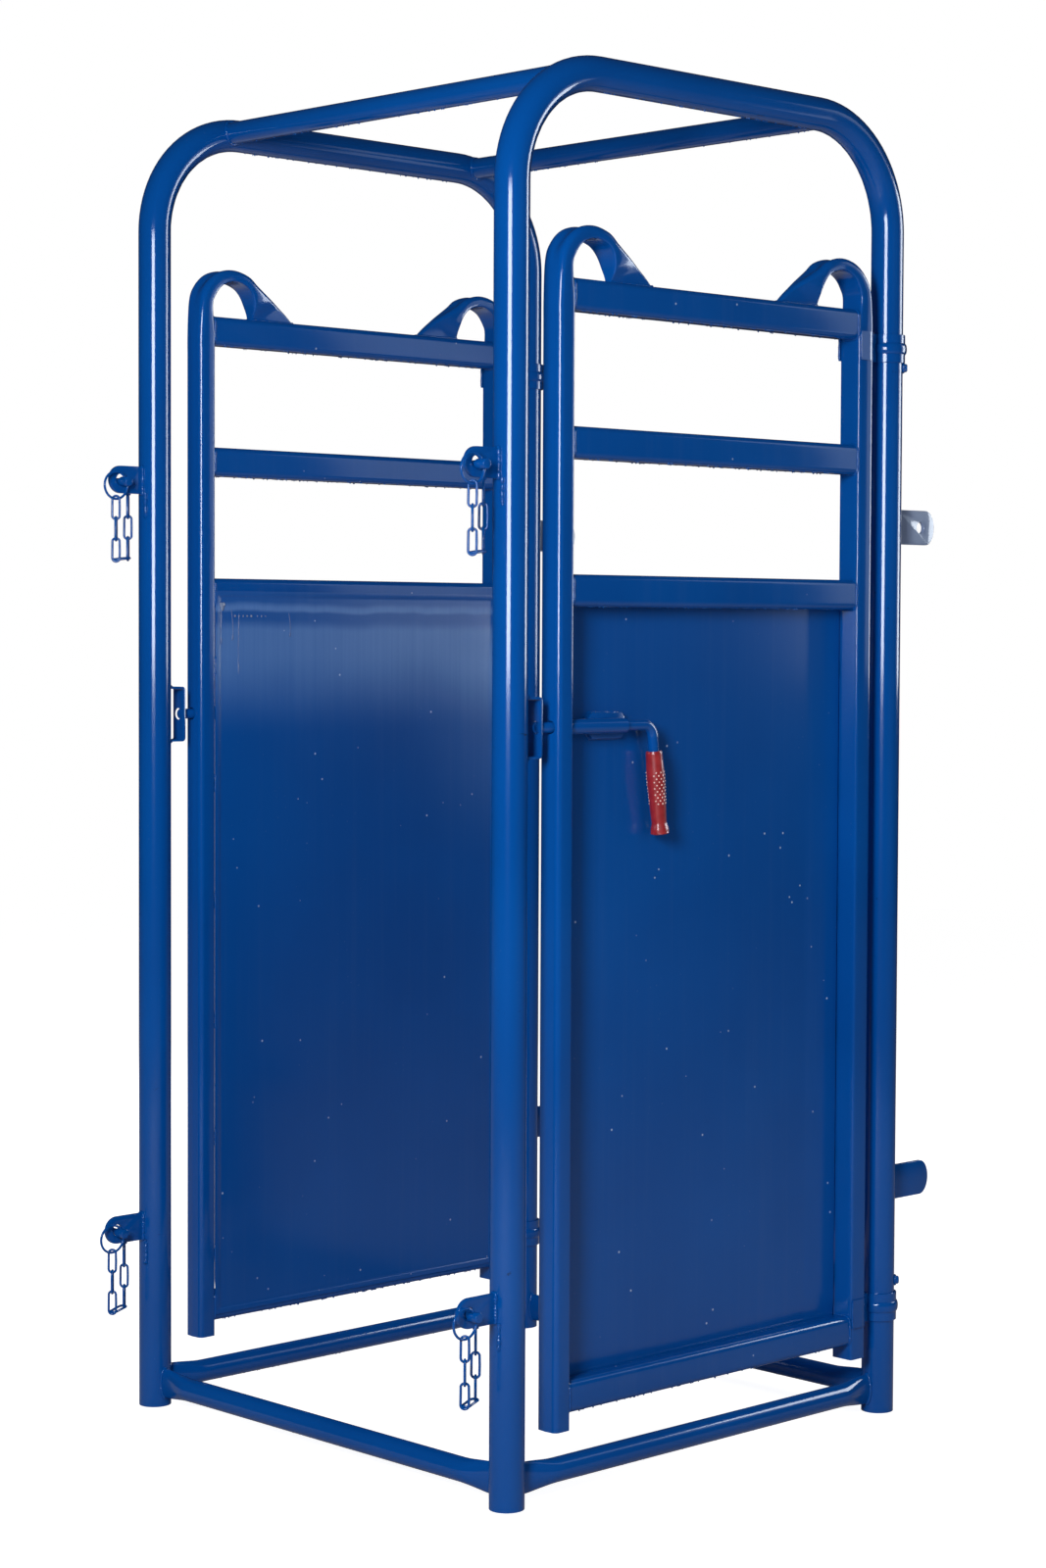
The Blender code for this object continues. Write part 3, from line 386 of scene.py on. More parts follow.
class Geo(Nodes):  # a node group with named size inputs, run on a mesh of points or edges
    def __init__(self, name, **sizes):
        super().__init__(bpy.data.node_groups.new(name, "GeometryNodeTree"))
        sockets = self.tree.interface
        sockets.new_socket("Points", in_out="INPUT", socket_type="NodeSocketGeometry")
        self.ids = {}
        for key, value in sizes.items():
            kind = "Int" if isinstance(value, int) else "Float" if isinstance(value, float) else "Material"
            socket = sockets.new_socket(key, in_out="INPUT", socket_type="NodeSocket" + kind)
            socket.default_value = value
            self.ids[key] = socket.identifier
        sockets.new_socket("Mesh", in_out="OUTPUT", socket_type="NodeSocketGeometry")
        self.entry = self.tree.nodes.new("NodeGroupInput")

    def size(self, key):
        return Wire(self, self.entry.outputs[key])

    def attribute(self, name):
        return self.make("GeometryNodeInputNamedAttribute", {"data_type": "FLOAT_VECTOR"}, {"Name": name})

    def ring(self, sides, radius):
        values = {"Resolution": sides, "Radius": radius}
        return self.make("GeometryNodeCurvePrimitiveCircle", {"mode": "RADIUS"}, values)

    def line(self, step=None):  # the edges as a curve, cut into steps
        curve = self.make("GeometryNodeMeshToCurve", values={"Mesh": self.size("Points")})
        if step is None:
            return curve
        return self.make("GeometryNodeResampleCurve", {"mode": "LENGTH"}, {"Curve": curve, "Length": step})

    def swept(self, curve, profile, **values):
        values = {"Curve": curve, "Profile Curve": profile, **values}
        return self.make("GeometryNodeCurveToMesh", values=values)

    def spread(self, points, thing, **values):
        values = {"Points": points, "Instance": thing, **values}
        return self.make("GeometryNodeInstanceOnPoints", values=values)

    def end(self, result):
        real = self.make("GeometryNodeRealizeInstances", values={"Geometry": result})
        values = {"Geometry": real, "Material": self.size("material")}
        painted = self.make("GeometryNodeSetMaterial", values=values)
        self.feed(self.tree.nodes.new("NodeGroupOutput"), {0: painted})
        return self

    def run(self, name, points, edges=(), attributes=None, **sizes):
        mesh = bpy.data.meshes.new(name)
        mesh.from_pydata([tuple(point) for point in points], list(edges), [])
        for key, values in (attributes or {}).items():
            layer = mesh.attributes.new(key, "FLOAT_VECTOR", "POINT")
            for item, value in zip(layer.data, values):
                item.vector = tuple(value)
        thing = show(name, mesh)
        step = thing.modifiers.new(name, "NODES")
        step.node_group = self.tree
        for key, value in sizes.items():
            step[self.ids[key]] = value
        return baked(thing)


# arches and the tubes between them

topTubes = {"radius": 0.0176, "wall": 0.0024, "inset": 0.140, "bite": 0.0006}
bottomRails = {
    "radius": 0.01775,
    "wall": 0.0024,
    "z": 0.0375,
    "pinchHalfHeight": 0.0235,
    "pinchHalfWidth": 0.0070,
    "pinchLength": 0.070,
    "steps": 14,
    "bite": 0.0006,
}
bendZ = archZ - cage["bendRadius"]
topTubeAlong = {"front": topTubes["inset"], "rear": span - topTubes["inset"]}
postAlong = {"front": 0.0, "rear": span}


def archStations():
    stations = [(0.0, 0.0, math.pi / 2, 0.0), (0.0, bendZ - cage["bendLead"], math.pi / 2, 0.0)]
    for step in range(cage["bendSteps"] + 1):
        share = step / cage["bendSteps"]
        turned = math.pi / 2 * share
        along = cage["bendRadius"] * (1 - math.cos(turned))
        z = bendZ + cage["bendRadius"] * math.sin(turned)
        wave = math.sin(math.pi * share) * math.sin(2 * math.pi * cage["wrinkleCount"] * share)
        stations.append((along, z, math.pi / 2 - turned, wave))
    return stations + [(span - along, z, -angle, wave) for along, z, angle, wave in reversed(stations)]


def archTube(side, name):
    def rings(radius):
        made = []
        for along, z, angle, wave in archStations():
            across = Vector((-math.sin(angle), 0, math.cos(angle)))
            ring = []
            for u, v in circle(48, 1.0):
                inner = max(-u, 0.0) ** 2
                size = radius - cage["wrinkle"] * inner * (0.5 + 0.5 * wave) * (1 if wave else 0)
                ring.append(world(side, along, 0, z) + across * (u * size) + Vector((0, v * size, 0)))
            made.append(ring)
        return made

    return tube(name, rings(postRadius), rings(postRadius - cage["postWall"]))


def archSurface(along, z):  # how far the arch stands out from its middle plane
    reach = min(along, span - along)
    if reach > cage["bendRadius"]:
        off = abs(z - archZ)
    else:
        off = abs(math.hypot(cage["bendRadius"] - reach, z - bendZ) - cage["bendRadius"])
    return math.sqrt(max(seatRadius**2 - off**2, 0.0))


def topTube(name, along):
    def rings(radius):
        made = []
        for side in (-1, 1):
            ring = []
            for u, v in circle(40, radius):
                reach = archSurface(along + u, archZ + v) - topTubes["bite"]
                ring.append(world(side, along + u, -reach, archZ + v))
            made.append(ring)
        return made

    return tube(name, rings(topTubes["radius"]), rings(topTubes["radius"] - topTubes["wall"]))


def pinched(distance, wall):
    share = eased(distance / bottomRails["pinchLength"])
    radius = bottomRails["radius"]
    wide = bottomRails["pinchHalfWidth"] + (radius - bottomRails["pinchHalfWidth"]) * share
    high = bottomRails["pinchHalfHeight"] + (radius - bottomRails["pinchHalfHeight"]) * share
    return wide - wall, high - wall


def bottomRail(name, start, end):
    forward = (end - start).normalized()
    across = lift(1).cross(forward)
    run = bottomRails["pinchLength"]
    distances = arc(0, run, bottomRails["steps"])
    stations = [(start, forward, distance) for distance in distances]
    stations += [(end, -forward, distance) for distance in reversed(distances)]

    def rings(wall):
        made = []
        for post, away, distance in stations:
            wide, high = pinched(distance, wall)
            ring = []
            for c, s in circle(36, 1.0):
                cope = math.sqrt(seatRadius**2 - (wide * c) ** 2) - bottomRails["bite"]
                blend = cope + (seatRadius - cope) * min(distance / run * 2, 1)
                ring.append(post + away * (blend + distance) + across * (wide * c) + lift(high * s))
            made.append(ring)
        return made

    return tube(name, rings(0.0), rings(bottomRails["wall"]))


railRuns = []  # each bottom rail from post to post
for hand, side in sides.items():
    dress(archTube(side, hand + "ArchTube"), archPaint, "cage", hand + "_arch")
    railRuns.append([world(side, along, 0, bottomRails["z"]) for along in postAlong.values()])
    dress(bottomRail(hand + "SideRail", *railRuns[-1]), tubePaint, "cage", hand + "_bottom_rail")
for end, along in postAlong.items():
    railRuns.append([world(side, along, 0, bottomRails["z"]) for side in sides.values()])
    dress(bottomRail(end + "CrossRail", *railRuns[-1]), tubePaint, "cage", end + "_bottom_rail")
    dress(topTube(end + "TopTube", topTubeAlong[end]), tubePaint, "cage", end + "_top_tube")
print("cage tubes made")


# gates: stiles with their bent, flattened loops, rails and sheets

gate = {
    "noseGap": 0.0655,
    "hingeGap": 0.0483,
    "stileDepth": 0.0400,
    "stileWidth": 0.0400,
    "wall": 0.0022,
    "footZ": 0.0960,
    "railHeight": 0.0460,
    "railDepth": 0.0360,
    "railCorner": 0.0095,
    "rails": {"top": 1.7130, "middle": 1.5045, "lower": 1.2950, "bottom": 0.1420},
    "boltZ": 1.1015,
    "boltOut": 0.0030,
    "boltHole": 0.0095,
    "bore": 0.06,  # how far the open foot of a stile is hollow
}
boltZ, boltOut = gate["boltZ"], gate["boltOut"]
halfDeep, halfWide = gate["stileDepth"] / 2, gate["stileWidth"] / 2
railOut, railUp = gate["railDepth"] / 2, gate["railHeight"] / 2
latchFlat = gate["noseGap"] + gate["stileDepth"]
hingeFlat = span - gate["hingeGap"] - gate["stileDepth"]

loop = {
    "centreAlong": 0.0775,
    "outerRadius": 0.0755,
    "footAlong": 0.1665,
    "footHalf": 0.0440,
    "footThickness": 0.0110,
    "groove": 0.0060,
    "corner": 0.0085,
    "crown": 0.05,
    "noseBack": {1: 0.0100, -1: 0.0040},  # the flat nose sits behind the round one of the solid
    "bend": (  # angle, inner radius, width and groove as shares
        (160, 0.590, 1.050, 0.25),
        (138, 0.650, 1.080, 0.7),
        (115, 0.715, 1.100, 1.0),
        (90, 0.755, 1.100, 1.0),
        (65, 0.760, 1.075, 1.0),
        (46, 0.740, 1.000, 0.7),
    ),
    "straight": (0.060, 0.030),  # sections below the bend
    "runOut": ((0.38, 32), (0.72, 15), (1.0, 0)),
    "backEdge": ((-0.80, 0.995), (-0.90, 0.97), (-0.965, 0.92), (-1.0, 0.84), (-1.0, 0.5), (-1.0, 0.0)),
    "cuts": 6,
}
loopZ = gate["rails"]["top"] + railUp + seatGap


def stileSection(half, wide, groove, nose, wall):
    front = half - nose
    corner = min(loop["corner"], wide * 0.95)
    flat = wide - corner
    points = []
    for sign, start in ((-1, -math.pi / 2), (1, 0)):
        for angle in arc(start, start + math.pi / 2, 9):
            points.append((front - corner + corner * math.cos(angle), corner * math.sin(angle) + sign * flat))
        for share in arc(-1, 0.8, 9)[1:] if sign < 0 else ():
            swell = (wide * loop["crown"] - groove) * math.cos(math.pi / 2 * share) ** 2
            points.append((front + swell, flat * share))
    points += [(half * u, wide * v) for u, v in loop["backEdge"]]
    points += [(half * u, -wide * v) for u, v in reversed(loop["backEdge"][:-1])]
    return [(u * (half - wall) / half, v * (wide - wall) / wide) for u, v in points]


def stileStations(back):  # along, up, angle, half depth, half width, groove and nose of each section
    stations = [(halfDeep, loopZ - under, 180, halfDeep, halfWide, 0.0, back) for under in loop["straight"]]
    for angle, inner, spread, share in loop["bend"]:
        middle = loop["outerRadius"] * (1 + inner) / 2
        along = loop["centreAlong"] + middle * math.cos(math.radians(angle))
        z = loopZ + middle * math.sin(math.radians(angle))
        deep = loop["outerRadius"] * (1 - inner) / 2
        nose = back * (1 - share) if angle > 90 else 0.0
        stations.append((along, z, angle, deep, halfWide * spread, loop["groove"] * share, nose))
    along, z, _, deep, wide, groove, _ = stations[-1]
    for share, angle in loop["runOut"]:
        place = (along + (loop["footAlong"] - along) * share, z + (loopZ - z) * share)
        deeper = deep + (loop["footHalf"] - deep) * share**1.4
        wider = wide + (loop["footThickness"] / 2 - wide) * eased(share)
        stations.append((*place, angle, deeper, wider, groove * (1 - share), 0.0))
    return stations


def between(a, b, c, d, t):  # on a smooth curve through four values
    return 0.5 * (2 * b + (c - a) * t + (2 * a - 5 * b + 4 * c - d) * t * t + (3 * b - a - 3 * c + d) * t**3)


def smoothRun(stations, cuts):
    made = []
    for i in range(len(stations) - 1):
        around = [stations[min(max(i + n, 0), len(stations) - 1)] for n in (-1, 0, 1, 2)]
        for cut in range(cuts):
            made.append(tuple(between(*values, cut / cuts) for values in zip(*around)))
    return made + [stations[-1]]


def stile(name, side, noseAlong, direction):
    setBack = loop["noseBack"][direction]
    heights = (gate["footZ"], gate["footZ"] + gate["bore"])
    foot = [(halfDeep, z, 180, halfDeep, halfWide, 0.0, setBack) for z in heights]
    bends = smoothRun(stileStations(setBack), loop["cuts"])

    def rings(stations, wall):
        made = []
        for along, z, degrees, deep, broad, groove, back in stations:
            turn = math.radians(degrees)
            ring = []
            for u, v in stileSection(deep, broad, groove, back, wall):
                x = noseAlong + direction * (along + u * math.cos(turn))
                ring.append(world(side, x, v, z + u * math.sin(turn)))
            made.append(ring)
        return made

    return tube(name, rings(foot[:1] + bends, 0.0), rings(foot, gate["wall"]), True)


def roundedBox(halfU, halfV, corner, steps=7):
    points = []
    for quarter in range(4):
        cu = (halfU - corner) * (1 if quarter in (0, 3) else -1)
        cv = (halfV - corner) * (1 if quarter in (0, 1) else -1)
        for step in range(steps + 1):
            angle = math.pi / 2 * (quarter + step / steps)
            points.append((cu + corner * math.cos(angle), cv + corner * math.sin(angle)))
    return points


def gateRail(name, side, z):
    outline = roundedBox(railOut, railUp, gate["railCorner"])
    places = arc(latchFlat, hingeFlat, 8)
    return solid(name, [[world(side, along, u, z + v) for u, v in outline] for along in places])


sheet = {
    "thickness": 0.0020,
    "latchSlit": 0.0006,
    "hingeSlit": 0.0040,
    "top": 1.2980,
    "bottom": 0.1300,
    "dish": 0.0014,
    "hingeStrip": 0.0680,  # along its hinge edge the sheet bends outwards
    "hingeRise": 0.0030,
    "hingeFold": 0.004,
    "bottomStrip": 0.0400,
    "fold": 0.0180,
    "rim": 0.0070,  # the turned edge on the inner face
    "rimRise": 0.0008,
    "buckle": 0.0009,  # how unevenly the thin sheet lies
    "flatEdge": 0.05,
    "columns": 48,
    "rows": 96,
}
rimOut = -(railOut + seatGap)
sheetFace = halfWidth + rimOut - sheet["thickness"] * 0.4
# the panel paint carries the painted sheen on the sheet's inner face
panelPaint = paintBlue(
    "panelPaint", 0.9, 0.5, streaks=0.10, combed=0.12, dust=1.0, face=sheetFace, blur=0.06
)


def gridLines(low, high, count, folds):
    made = arc(low, high, count)
    for fold, width in folds:
        made += arc(fold, fold + width, 4)
    return sorted(set(round(value, 6) for value in made))


def panel(name, side):
    left = latchFlat + sheet["latchSlit"]
    right = hingeFlat - sheet["hingeSlit"]
    low, high, rim, flat = (sheet[key] for key in ("bottom", "top", "rim", "flatEdge"))
    soft = rim / 3
    hingeEdge = right - sheet["hingeStrip"]
    bottomEdge = low + sheet["bottomStrip"]

    def buckled(along, z):
        inside = eased((along - left) / flat) * eased((right - along) / flat) * eased((high - z) / flat)
        wave = math.sin(z * 7.1 + 0.6 * side) * math.sin(along * 9.3 + z * 2.0)
        wave += 0.5 * math.sin(z * 15.0 + along * 6.0)
        return sheet["buckle"] * (0.6 - 0.4 * wave) * inside

    def front(along, z):
        rise = max(along - hingeEdge, 0.0) / sheet["hingeStrip"] * sheet["hingeRise"]
        return rimOut + eased((z - bottomEdge) / sheet["fold"]) * (sheet["dish"] - buckled(along, z)) + rise

    def back(along, z):
        turned = eased((along - left - rim) / soft) * eased((right - along - rim) / soft)
        turned *= eased((z - low - rim) / soft) * eased((high - z - rim) / soft)
        return rimOut - sheet["thickness"] + sheet["rimRise"] * turned - buckled(along, z) * 0.6

    folds = ((left + rim, soft), (hingeEdge, sheet["hingeFold"]), (right - rim - soft, soft))
    columns = gridLines(left, right, sheet["columns"], folds)
    folds = ((low + rim, soft), (bottomEdge, sheet["fold"]), (high - rim - soft, soft))
    rows = gridLines(low, high, sheet["rows"], folds)
    bm = bmesh.new()
    rims = []
    for face in (front, back):
        grid = [[bm.verts.new(world(side, along, face(along, z), z)) for along in columns] for z in rows]
        for below, above in zip(grid, grid[1:]):
            for i in range(len(columns) - 1):
                bm.faces.new((below[i], below[i + 1], above[i + 1], above[i]))
        edge = grid[0][:-1] + [line[-1] for line in grid[:-1]]
        rims.append(edge + grid[-1][:0:-1] + [line[0] for line in reversed(grid[1:])])
    joinLoops(bm, *rims)
    return newObject(name, bm)


for hand, side in sides.items():
    body = hand + "_gate"
    piece = stile(hand + "LatchStile", side, gate["noseGap"], 1)
    hole = [world(side, along, boltOut, boltZ) for along in (gate["noseGap"] - drillPast, latchFlat + drillPast)]
    dress(drill(piece, *hole, gate["boltHole"]), tubePaint, body, hand + "_latch_stile")
    piece = stile(hand + "HingeStile", side, span - gate["hingeGap"], -1)
    dress(piece, tubePaint, body, hand + "_hinge_stile")
    for level, z in gate["rails"].items():
        rail = gateRail(hand + level.capitalize() + "Rail", side, z)
        dress(rail, railPaint, body, f"{hand}_gate_{level}_rail")
    dress(panel(hand + "Panel", side), panelPaint, body, hand + "_gate_panel", angle=60)
print("gates made")


# node trees for bent wire, chain links, weld beads and drops of paint


def rodTree():  # a round rod along a line of edges, with each point's size as a share
    tree = Geo("bentRod", wire=0.0019, sides=14, material=smallPaint)
    values = {"Scale": tree.attribute("share"), "Fill Caps": True}
    return tree.end(tree.swept(tree.line(), tree.ring(tree.size("sides"), tree.size("wire")), **values))


def chainTree():  # one stadium-shaped link on every point, turned by the point's angles
    tree = Geo("tetherChain", straight=0.0245, bow=0.00585, wire=0.0019, material=smallPaint)
    place = tree.make("GeometryNodeInputPosition")
    height = tree.make("ShaderNodeSeparateXYZ", values={"Vector": place}, output=1)
    stretch = height.math("SIGN", height) * (tree.size("straight") * 0.5)
    apart = tree.make("ShaderNodeCombineXYZ", values={"Y": stretch})
    values = {"Geometry": tree.ring(20, tree.size("bow")), "Offset": apart}
    stadium = tree.make("GeometryNodeSetPosition", values=values)
    link = tree.swept(stadium, tree.ring(10, tree.size("wire")))
    return tree.end(tree.spread(tree.size("Points"), link, Rotation=tree.attribute("turn")))


def beadTree():  # a rippled weld bead along each line
    sizes = {"radius": 0.0022, "pitch": 0.0034, "ripple": 0.13, "lumps": 0.9, "step": 0.0012, "seed": 3.0}
    tree = Geo("weldBead", material=beadPaint, **sizes)
    fine = tree.line(tree.size("step"))
    along = tree.make("GeometryNodeSplineParameter", output=1)
    turns = along.math("DIVIDE", along, tree.size("pitch")) * (2 * math.pi)
    values = {"W": tree.size("seed"), "Scale": 190.0, "Detail": 1.0}
    lump = tree.make("ShaderNodeTexNoise", {"noise_dimensions": "4D"}, values) - 0.5
    ripples = turns.math("MULTIPLY_ADD", turns.math("SINE", turns), tree.size("ripple"), 0.95)
    scale = ripples + lump * tree.size("lumps")
    values = {"Scale": scale, "Fill Caps": True}
    return tree.end(tree.swept(fine, tree.ring(8, tree.size("radius")), **values))


def dropTree():  # drops of paint that dried where it ran off
    tree = Geo("paintDrops", spacing=0.004, share=0.26, drop=0.0019, seed=5, material=smallPaint)
    fine = tree.line(tree.size("spacing"))
    values = {"Probability": tree.size("share"), "Seed": tree.size("seed")}
    chosen = tree.make("FunctionNodeRandomValue", {"data_type": "BOOLEAN"}, values, 3)
    values = {0: (0.4, 0.4, 0.3), 1: (1.2, 1.0, 1.2), "Seed": tree.size("seed")}
    scale = tree.make("FunctionNodeRandomValue", {"data_type": "FLOAT_VECTOR"}, values)
    values = {"Segments": 8, "Rings": 5, "Radius": tree.size("drop")}
    drop = tree.make("GeometryNodeMeshUVSphere", values=values)
    return tree.end(tree.spread(fine, drop, Selection=chosen, Scale=scale))


bentRod, tetherChain, weldBead, paintDrops = rodTree(), chainTree(), beadTree(), dropTree()
cageLines, lugLines = [], []  # weld beads as points, and whether they close
welds = {
    "cageRadius": 0.0024,
    "gateRadius": 0.0021,
    "lugRadius": 0.0032,
    "lugPitch": 0.0046,
    "lugLumps": 1.9,
    "off": 0.0006,  # how far a bead's middle lies off the steel
    "offRail": 0.0005,
    "offGuide": 0.0007,
    "offPinch": 0.0008,
    "pinchWider": 0.0004,
    "pinchHigher": 0.0002,
    "footCorner": 0.003,
    "strapShort": 0.003,
    "strapOut": 0.6,  # share of the strap's thickness
    "stitchRadius": 0.0015,
    "stitch": 0.028,
    "stitchPitch": 0.190,
    "stitchFrom": 0.085,  # above the sheet's lower edge
    "stitchTo": 0.030,  # below its upper edge
}


def asLines(lines):  # points and edges for a node tree
    points, edges = [], []
    for line, closed in lines:
        first = len(points)
        points += line
        edges += [(first + i, first + i + 1) for i in range(len(line) - 1)]
        if closed:
            edges.append((len(points) - 1, first))
    return points, edges


def rod(name, points, radius, shares=None, sides=14):
    edges = [(i, i + 1) for i in range(len(points) - 1)]
    sizes = [(share,) * 3 for share in (shares or [1.0] * len(points))]
    return bentRod.run(name, points, edges, {"share": sizes}, wire=radius, sides=sides)


# lugs

lugs = {
    "thickness": 0.0064,
    "rounding": 0.0009,
    "hole": 0.0090,
    "bite": 0.0006,
    "frontHeight": 0.0430,
    "frontHoleAt": {"upper": 0.0670, "lower": 0.0755},  # hole centre before the post axis
    "frontZ": {"upper": 1.4700, "lower": 0.2890},
    "frontEnd": 0.0215,
    "rearHeight": 0.0545,
    "rearReach": 0.11799,
    "rearCorner": 0.0200,
    "rearHoleAt": 0.0840,
    "rearZ": {"upper": 1.4035, "lower": 0.3610},
    "tail": 0.038,  # length of the weld that has run down the post
    "tailTurn": math.radians(199),
    "tailOff": 0.0002,
    "beadShort": 0.001,
}
lugHalf = lugs["thickness"] / 2


def lugPlate(name, side, post, direction, z, base, end, height, hole):
    half = height / 2
    outline = [(seatRadius - lugs["bite"], half), (seatRadius - lugs["bite"], -half)]
    for angle in arc(-math.pi / 2, math.pi / 2, 24):
        outline.append((base + end * math.cos(angle), half * math.sin(angle)))
    rings = []
    for thick in (-lugHalf, lugHalf):
        rings.append([world(side, post + direction * x, 0, z + up) + Vector((0, thick, 0)) for x, up in outline])
    plate = solid(name, rings)
    if hole:
        centre = world(side, post + direction * hole, 0, z)
        through = Vector((0, drillPast, 0))
        drill(plate, centre - through, centre + through, lugs["hole"])
    return bevel(plate, lugs["rounding"])


def lugBeads(side, post, direction, z, height):  # up one face of the plate, over its edge and down the other
    half = height / 2 - lugs["beadShort"]
    reach = math.sqrt(postRadius**2 - lugHalf**2) + welds["off"]
    line = []
    for face in (-1, 1):
        for up in arc(half * face, -half * face, 8):
            line.append(world(side, post + direction * reach, 0, z + up) + Vector((0, face * lugHalf, 0)))
    lugLines.append((line, True))
    if direction < 0:
        radius = postRadius + lugs["tailOff"]
        x, y = radius * math.cos(lugs["tailTurn"]), radius * math.sin(lugs["tailTurn"])
        tail = [world(side, post + x, 0, z - half - down) + Vector((0, y, 0)) for down in arc(0, lugs["tail"], 5)]
        lugLines.append((tail, False))


for hand, side in sides.items():
    for level in levels:
        name = hand + level.capitalize()
        z, hole, height = lugs["frontZ"][level], lugs["frontHoleAt"][level], lugs["frontHeight"]
        plate = lugPlate(name + "FrontLug", side, 0, -1, z, hole, lugs["frontEnd"], height, hole)
        dress(plate, smallPaint, "cage", f"front_{hand}_{level}_lug")
        lugBeads(side, 0, -1, z, height)
        z, height = lugs["rearZ"][level], lugs["rearHeight"]
        hole = lugs["rearHoleAt"] if level == "upper" else None
        base = lugs["rearReach"] - lugs["rearCorner"]
        plate = lugPlate(name + "RearLug", side, span, 1, z, base, lugs["rearCorner"], height, hole)
        dress(plate, dullPaint if level == "upper" else smallPaint, "cage", f"rear_{hand}_{level}_lug")
        lugBeads(side, span, 1, z, height)
print("lugs made")


# lynch pins with their rings and tether chains

pins = {
    "shaft": 0.0055,
    "head": 0.0075,
    "headLength": 0.0200,
    "standOff": 0.0010,
    "tip": 0.0200,
    "rounding": 0.0015,
    "lies": 0.0032,  # below the hole's centre
    "ringRadius": 0.0213,
    "ringDrop": 0.0215,
    "ringWire": 0.0019,
    "ringAngle": math.radians(200),
    "ringFall": 0.01962,
    "ringStub": 0.00396,
    "crossHole": 0.0023,
    "drillHalf": 0.012,
    "fillet": 0.0006,
}
links = {
    "length": 0.0400,
    "wire": 0.0038,
    "bite": 0.0005,
    "ringGap": 0.0010,
    "strand": 3,
    "weldHalf": 0.004,
    "weldUp": 0.0015,
}
ringAxis = Vector((math.sin(pins["ringAngle"]), 0, -math.cos(pins["ringAngle"])))
ringHang = Vector((math.cos(pins["ringAngle"]), 0, math.sin(pins["ringAngle"])))


def pinHead(side, hole, z):  # the middle of the head, where the ring goes through
    y = side * halfWidth - lugHalf - pins["standOff"] - pins["headLength"] / 2
    return Vector((frontX - hole, y, z))


def lynchPin(name, side, hole, z):
    inner = -(lugHalf + pins["standOff"])
    outer = inner - pins["headLength"]
    tip = lugHalf + pins["tip"]
    soft = pins["rounding"]
    quarter = [(soft * (1 - math.sin(turn)), soft * (1 - math.cos(turn))) for turn in arc(0, math.pi / 2, 4)]
    profile = [(outer + late, pins["head"] - early) for early, late in quarter]
    profile += [(inner - early, pins["head"] - late) for early, late in quarter]
    profile += [(inner, pins["shaft"] + pins["fillet"]), (inner + pins["fillet"], pins["shaft"])]
    profile += [(tip - 2 * early, pins["shaft"] - late) for early, late in quarter]
    middle = pinHead(side, hole, z)
    rings = []
    for y, radius in profile:
        rings.append([Vector((frontX - hole + u, side * halfWidth + y, z + v)) for u, v in circle(28, radius)])
    through = ringAxis * pins["drillHalf"]
    return drill(solid(name, rings), middle - through, middle + through, pins["crossHole"], 16)


def pinRing(name, side, hole, z):
    head = pinHead(side, hole, z)
    radius = pins["ringRadius"]
    opening = math.acos(pins["ringFall"] / radius)
    centre = head + ringHang * pins["ringFall"]
    points = [head + ringAxis * pins["ringStub"]]
    for angle in arc(opening, 2 * math.pi - opening, 48):
        points.append(centre - (ringHang * math.cos(angle) - ringAxis * math.sin(angle)) * radius)
    points.append(head - ringAxis * pins["ringStub"])
    return rod(name, points, pins["ringWire"])


def chainLinks(side, hole, lugZ, pinZ):  # each link's top, bottom and sideways direction
    tall = links["length"] - links["wire"]
    bite = links["wire"] - links["bite"]
    pitch = tall - bite
    head = pinHead(side, hole, pinZ)
    hang = head + ringHang * pins["ringFall"] + lift(links["wire"] + links["ringGap"] - pins["ringDrop"])
    diagonal = math.sqrt(0.5)
    ways = [Vector((diagonal, -diagonal, 0)), Vector((diagonal, diagonal, 0))]  # facing the camera, then edgeways
    made = []
    for n in range(links["strand"]):
        top = hang - lift(n * pitch)
        made.append((top, top - lift(tall), ways[n % 2]))
    foot = made[-1][1]
    weldZ = lugZ - lugs["frontHeight"] / 2 - seatGap - links["wire"] / 2
    rise = weldZ - tall - (links["strand"] - 1) * pitch - foot.z
    acrossY = side * halfWidth - head.y
    acrossX = math.sqrt(tall**2 - rise**2 - acrossY**2)
    near = foot + lift(bite)
    far = near + Vector((acrossX, acrossY, rise))
    made.append((near, far, Vector((-acrossY, acrossX, 0)).normalized()))
    for n in range(links["strand"]):
        bottom = far + lift(n * pitch - bite)
        made.append((bottom + lift(tall), bottom, ways[(n + 1) % 2]))
    return made


for hand, side in sides.items():
    for level in levels:
        hole, lugZ = lugs["frontHoleAt"][level], lugs["frontZ"][level]
        pinZ = lugZ - pins["lies"]
        name, node, own = hand + level.capitalize(), f"front_{hand}_{level}", f"{hand}_{level}"
        dress(lynchPin(name + "Pin", side, hole, pinZ), smallPaint, own + "_pin", node + "_pin")
        dress(pinRing(name + "Ring", side, hole, pinZ), smallPaint, own + "_ring", node + "_ring", angle=60)
        middles, turns = [], []
        for top, bottom, sideway in chainLinks(side, hole, lugZ, pinZ):
            up = (top - bottom).normalized()
            middles.append((top + bottom) / 2)
            turns.append(Matrix((sideway, up, sideway.cross(up))).transposed().to_euler())
        chain = tetherChain.run(name + "Chain", middles, (), {"turn": turns})
        dress(chain, smallPaint, "cage", node + "_chain", angle=60)
        half = links["weldHalf"]
        cageLines.append(([top + Vector((x, 0, links["weldUp"])) for x in (-half, half)], False))
print("pins, rings and chains made")


# keepers and hinge stops on the posts, hinge straps on the gates

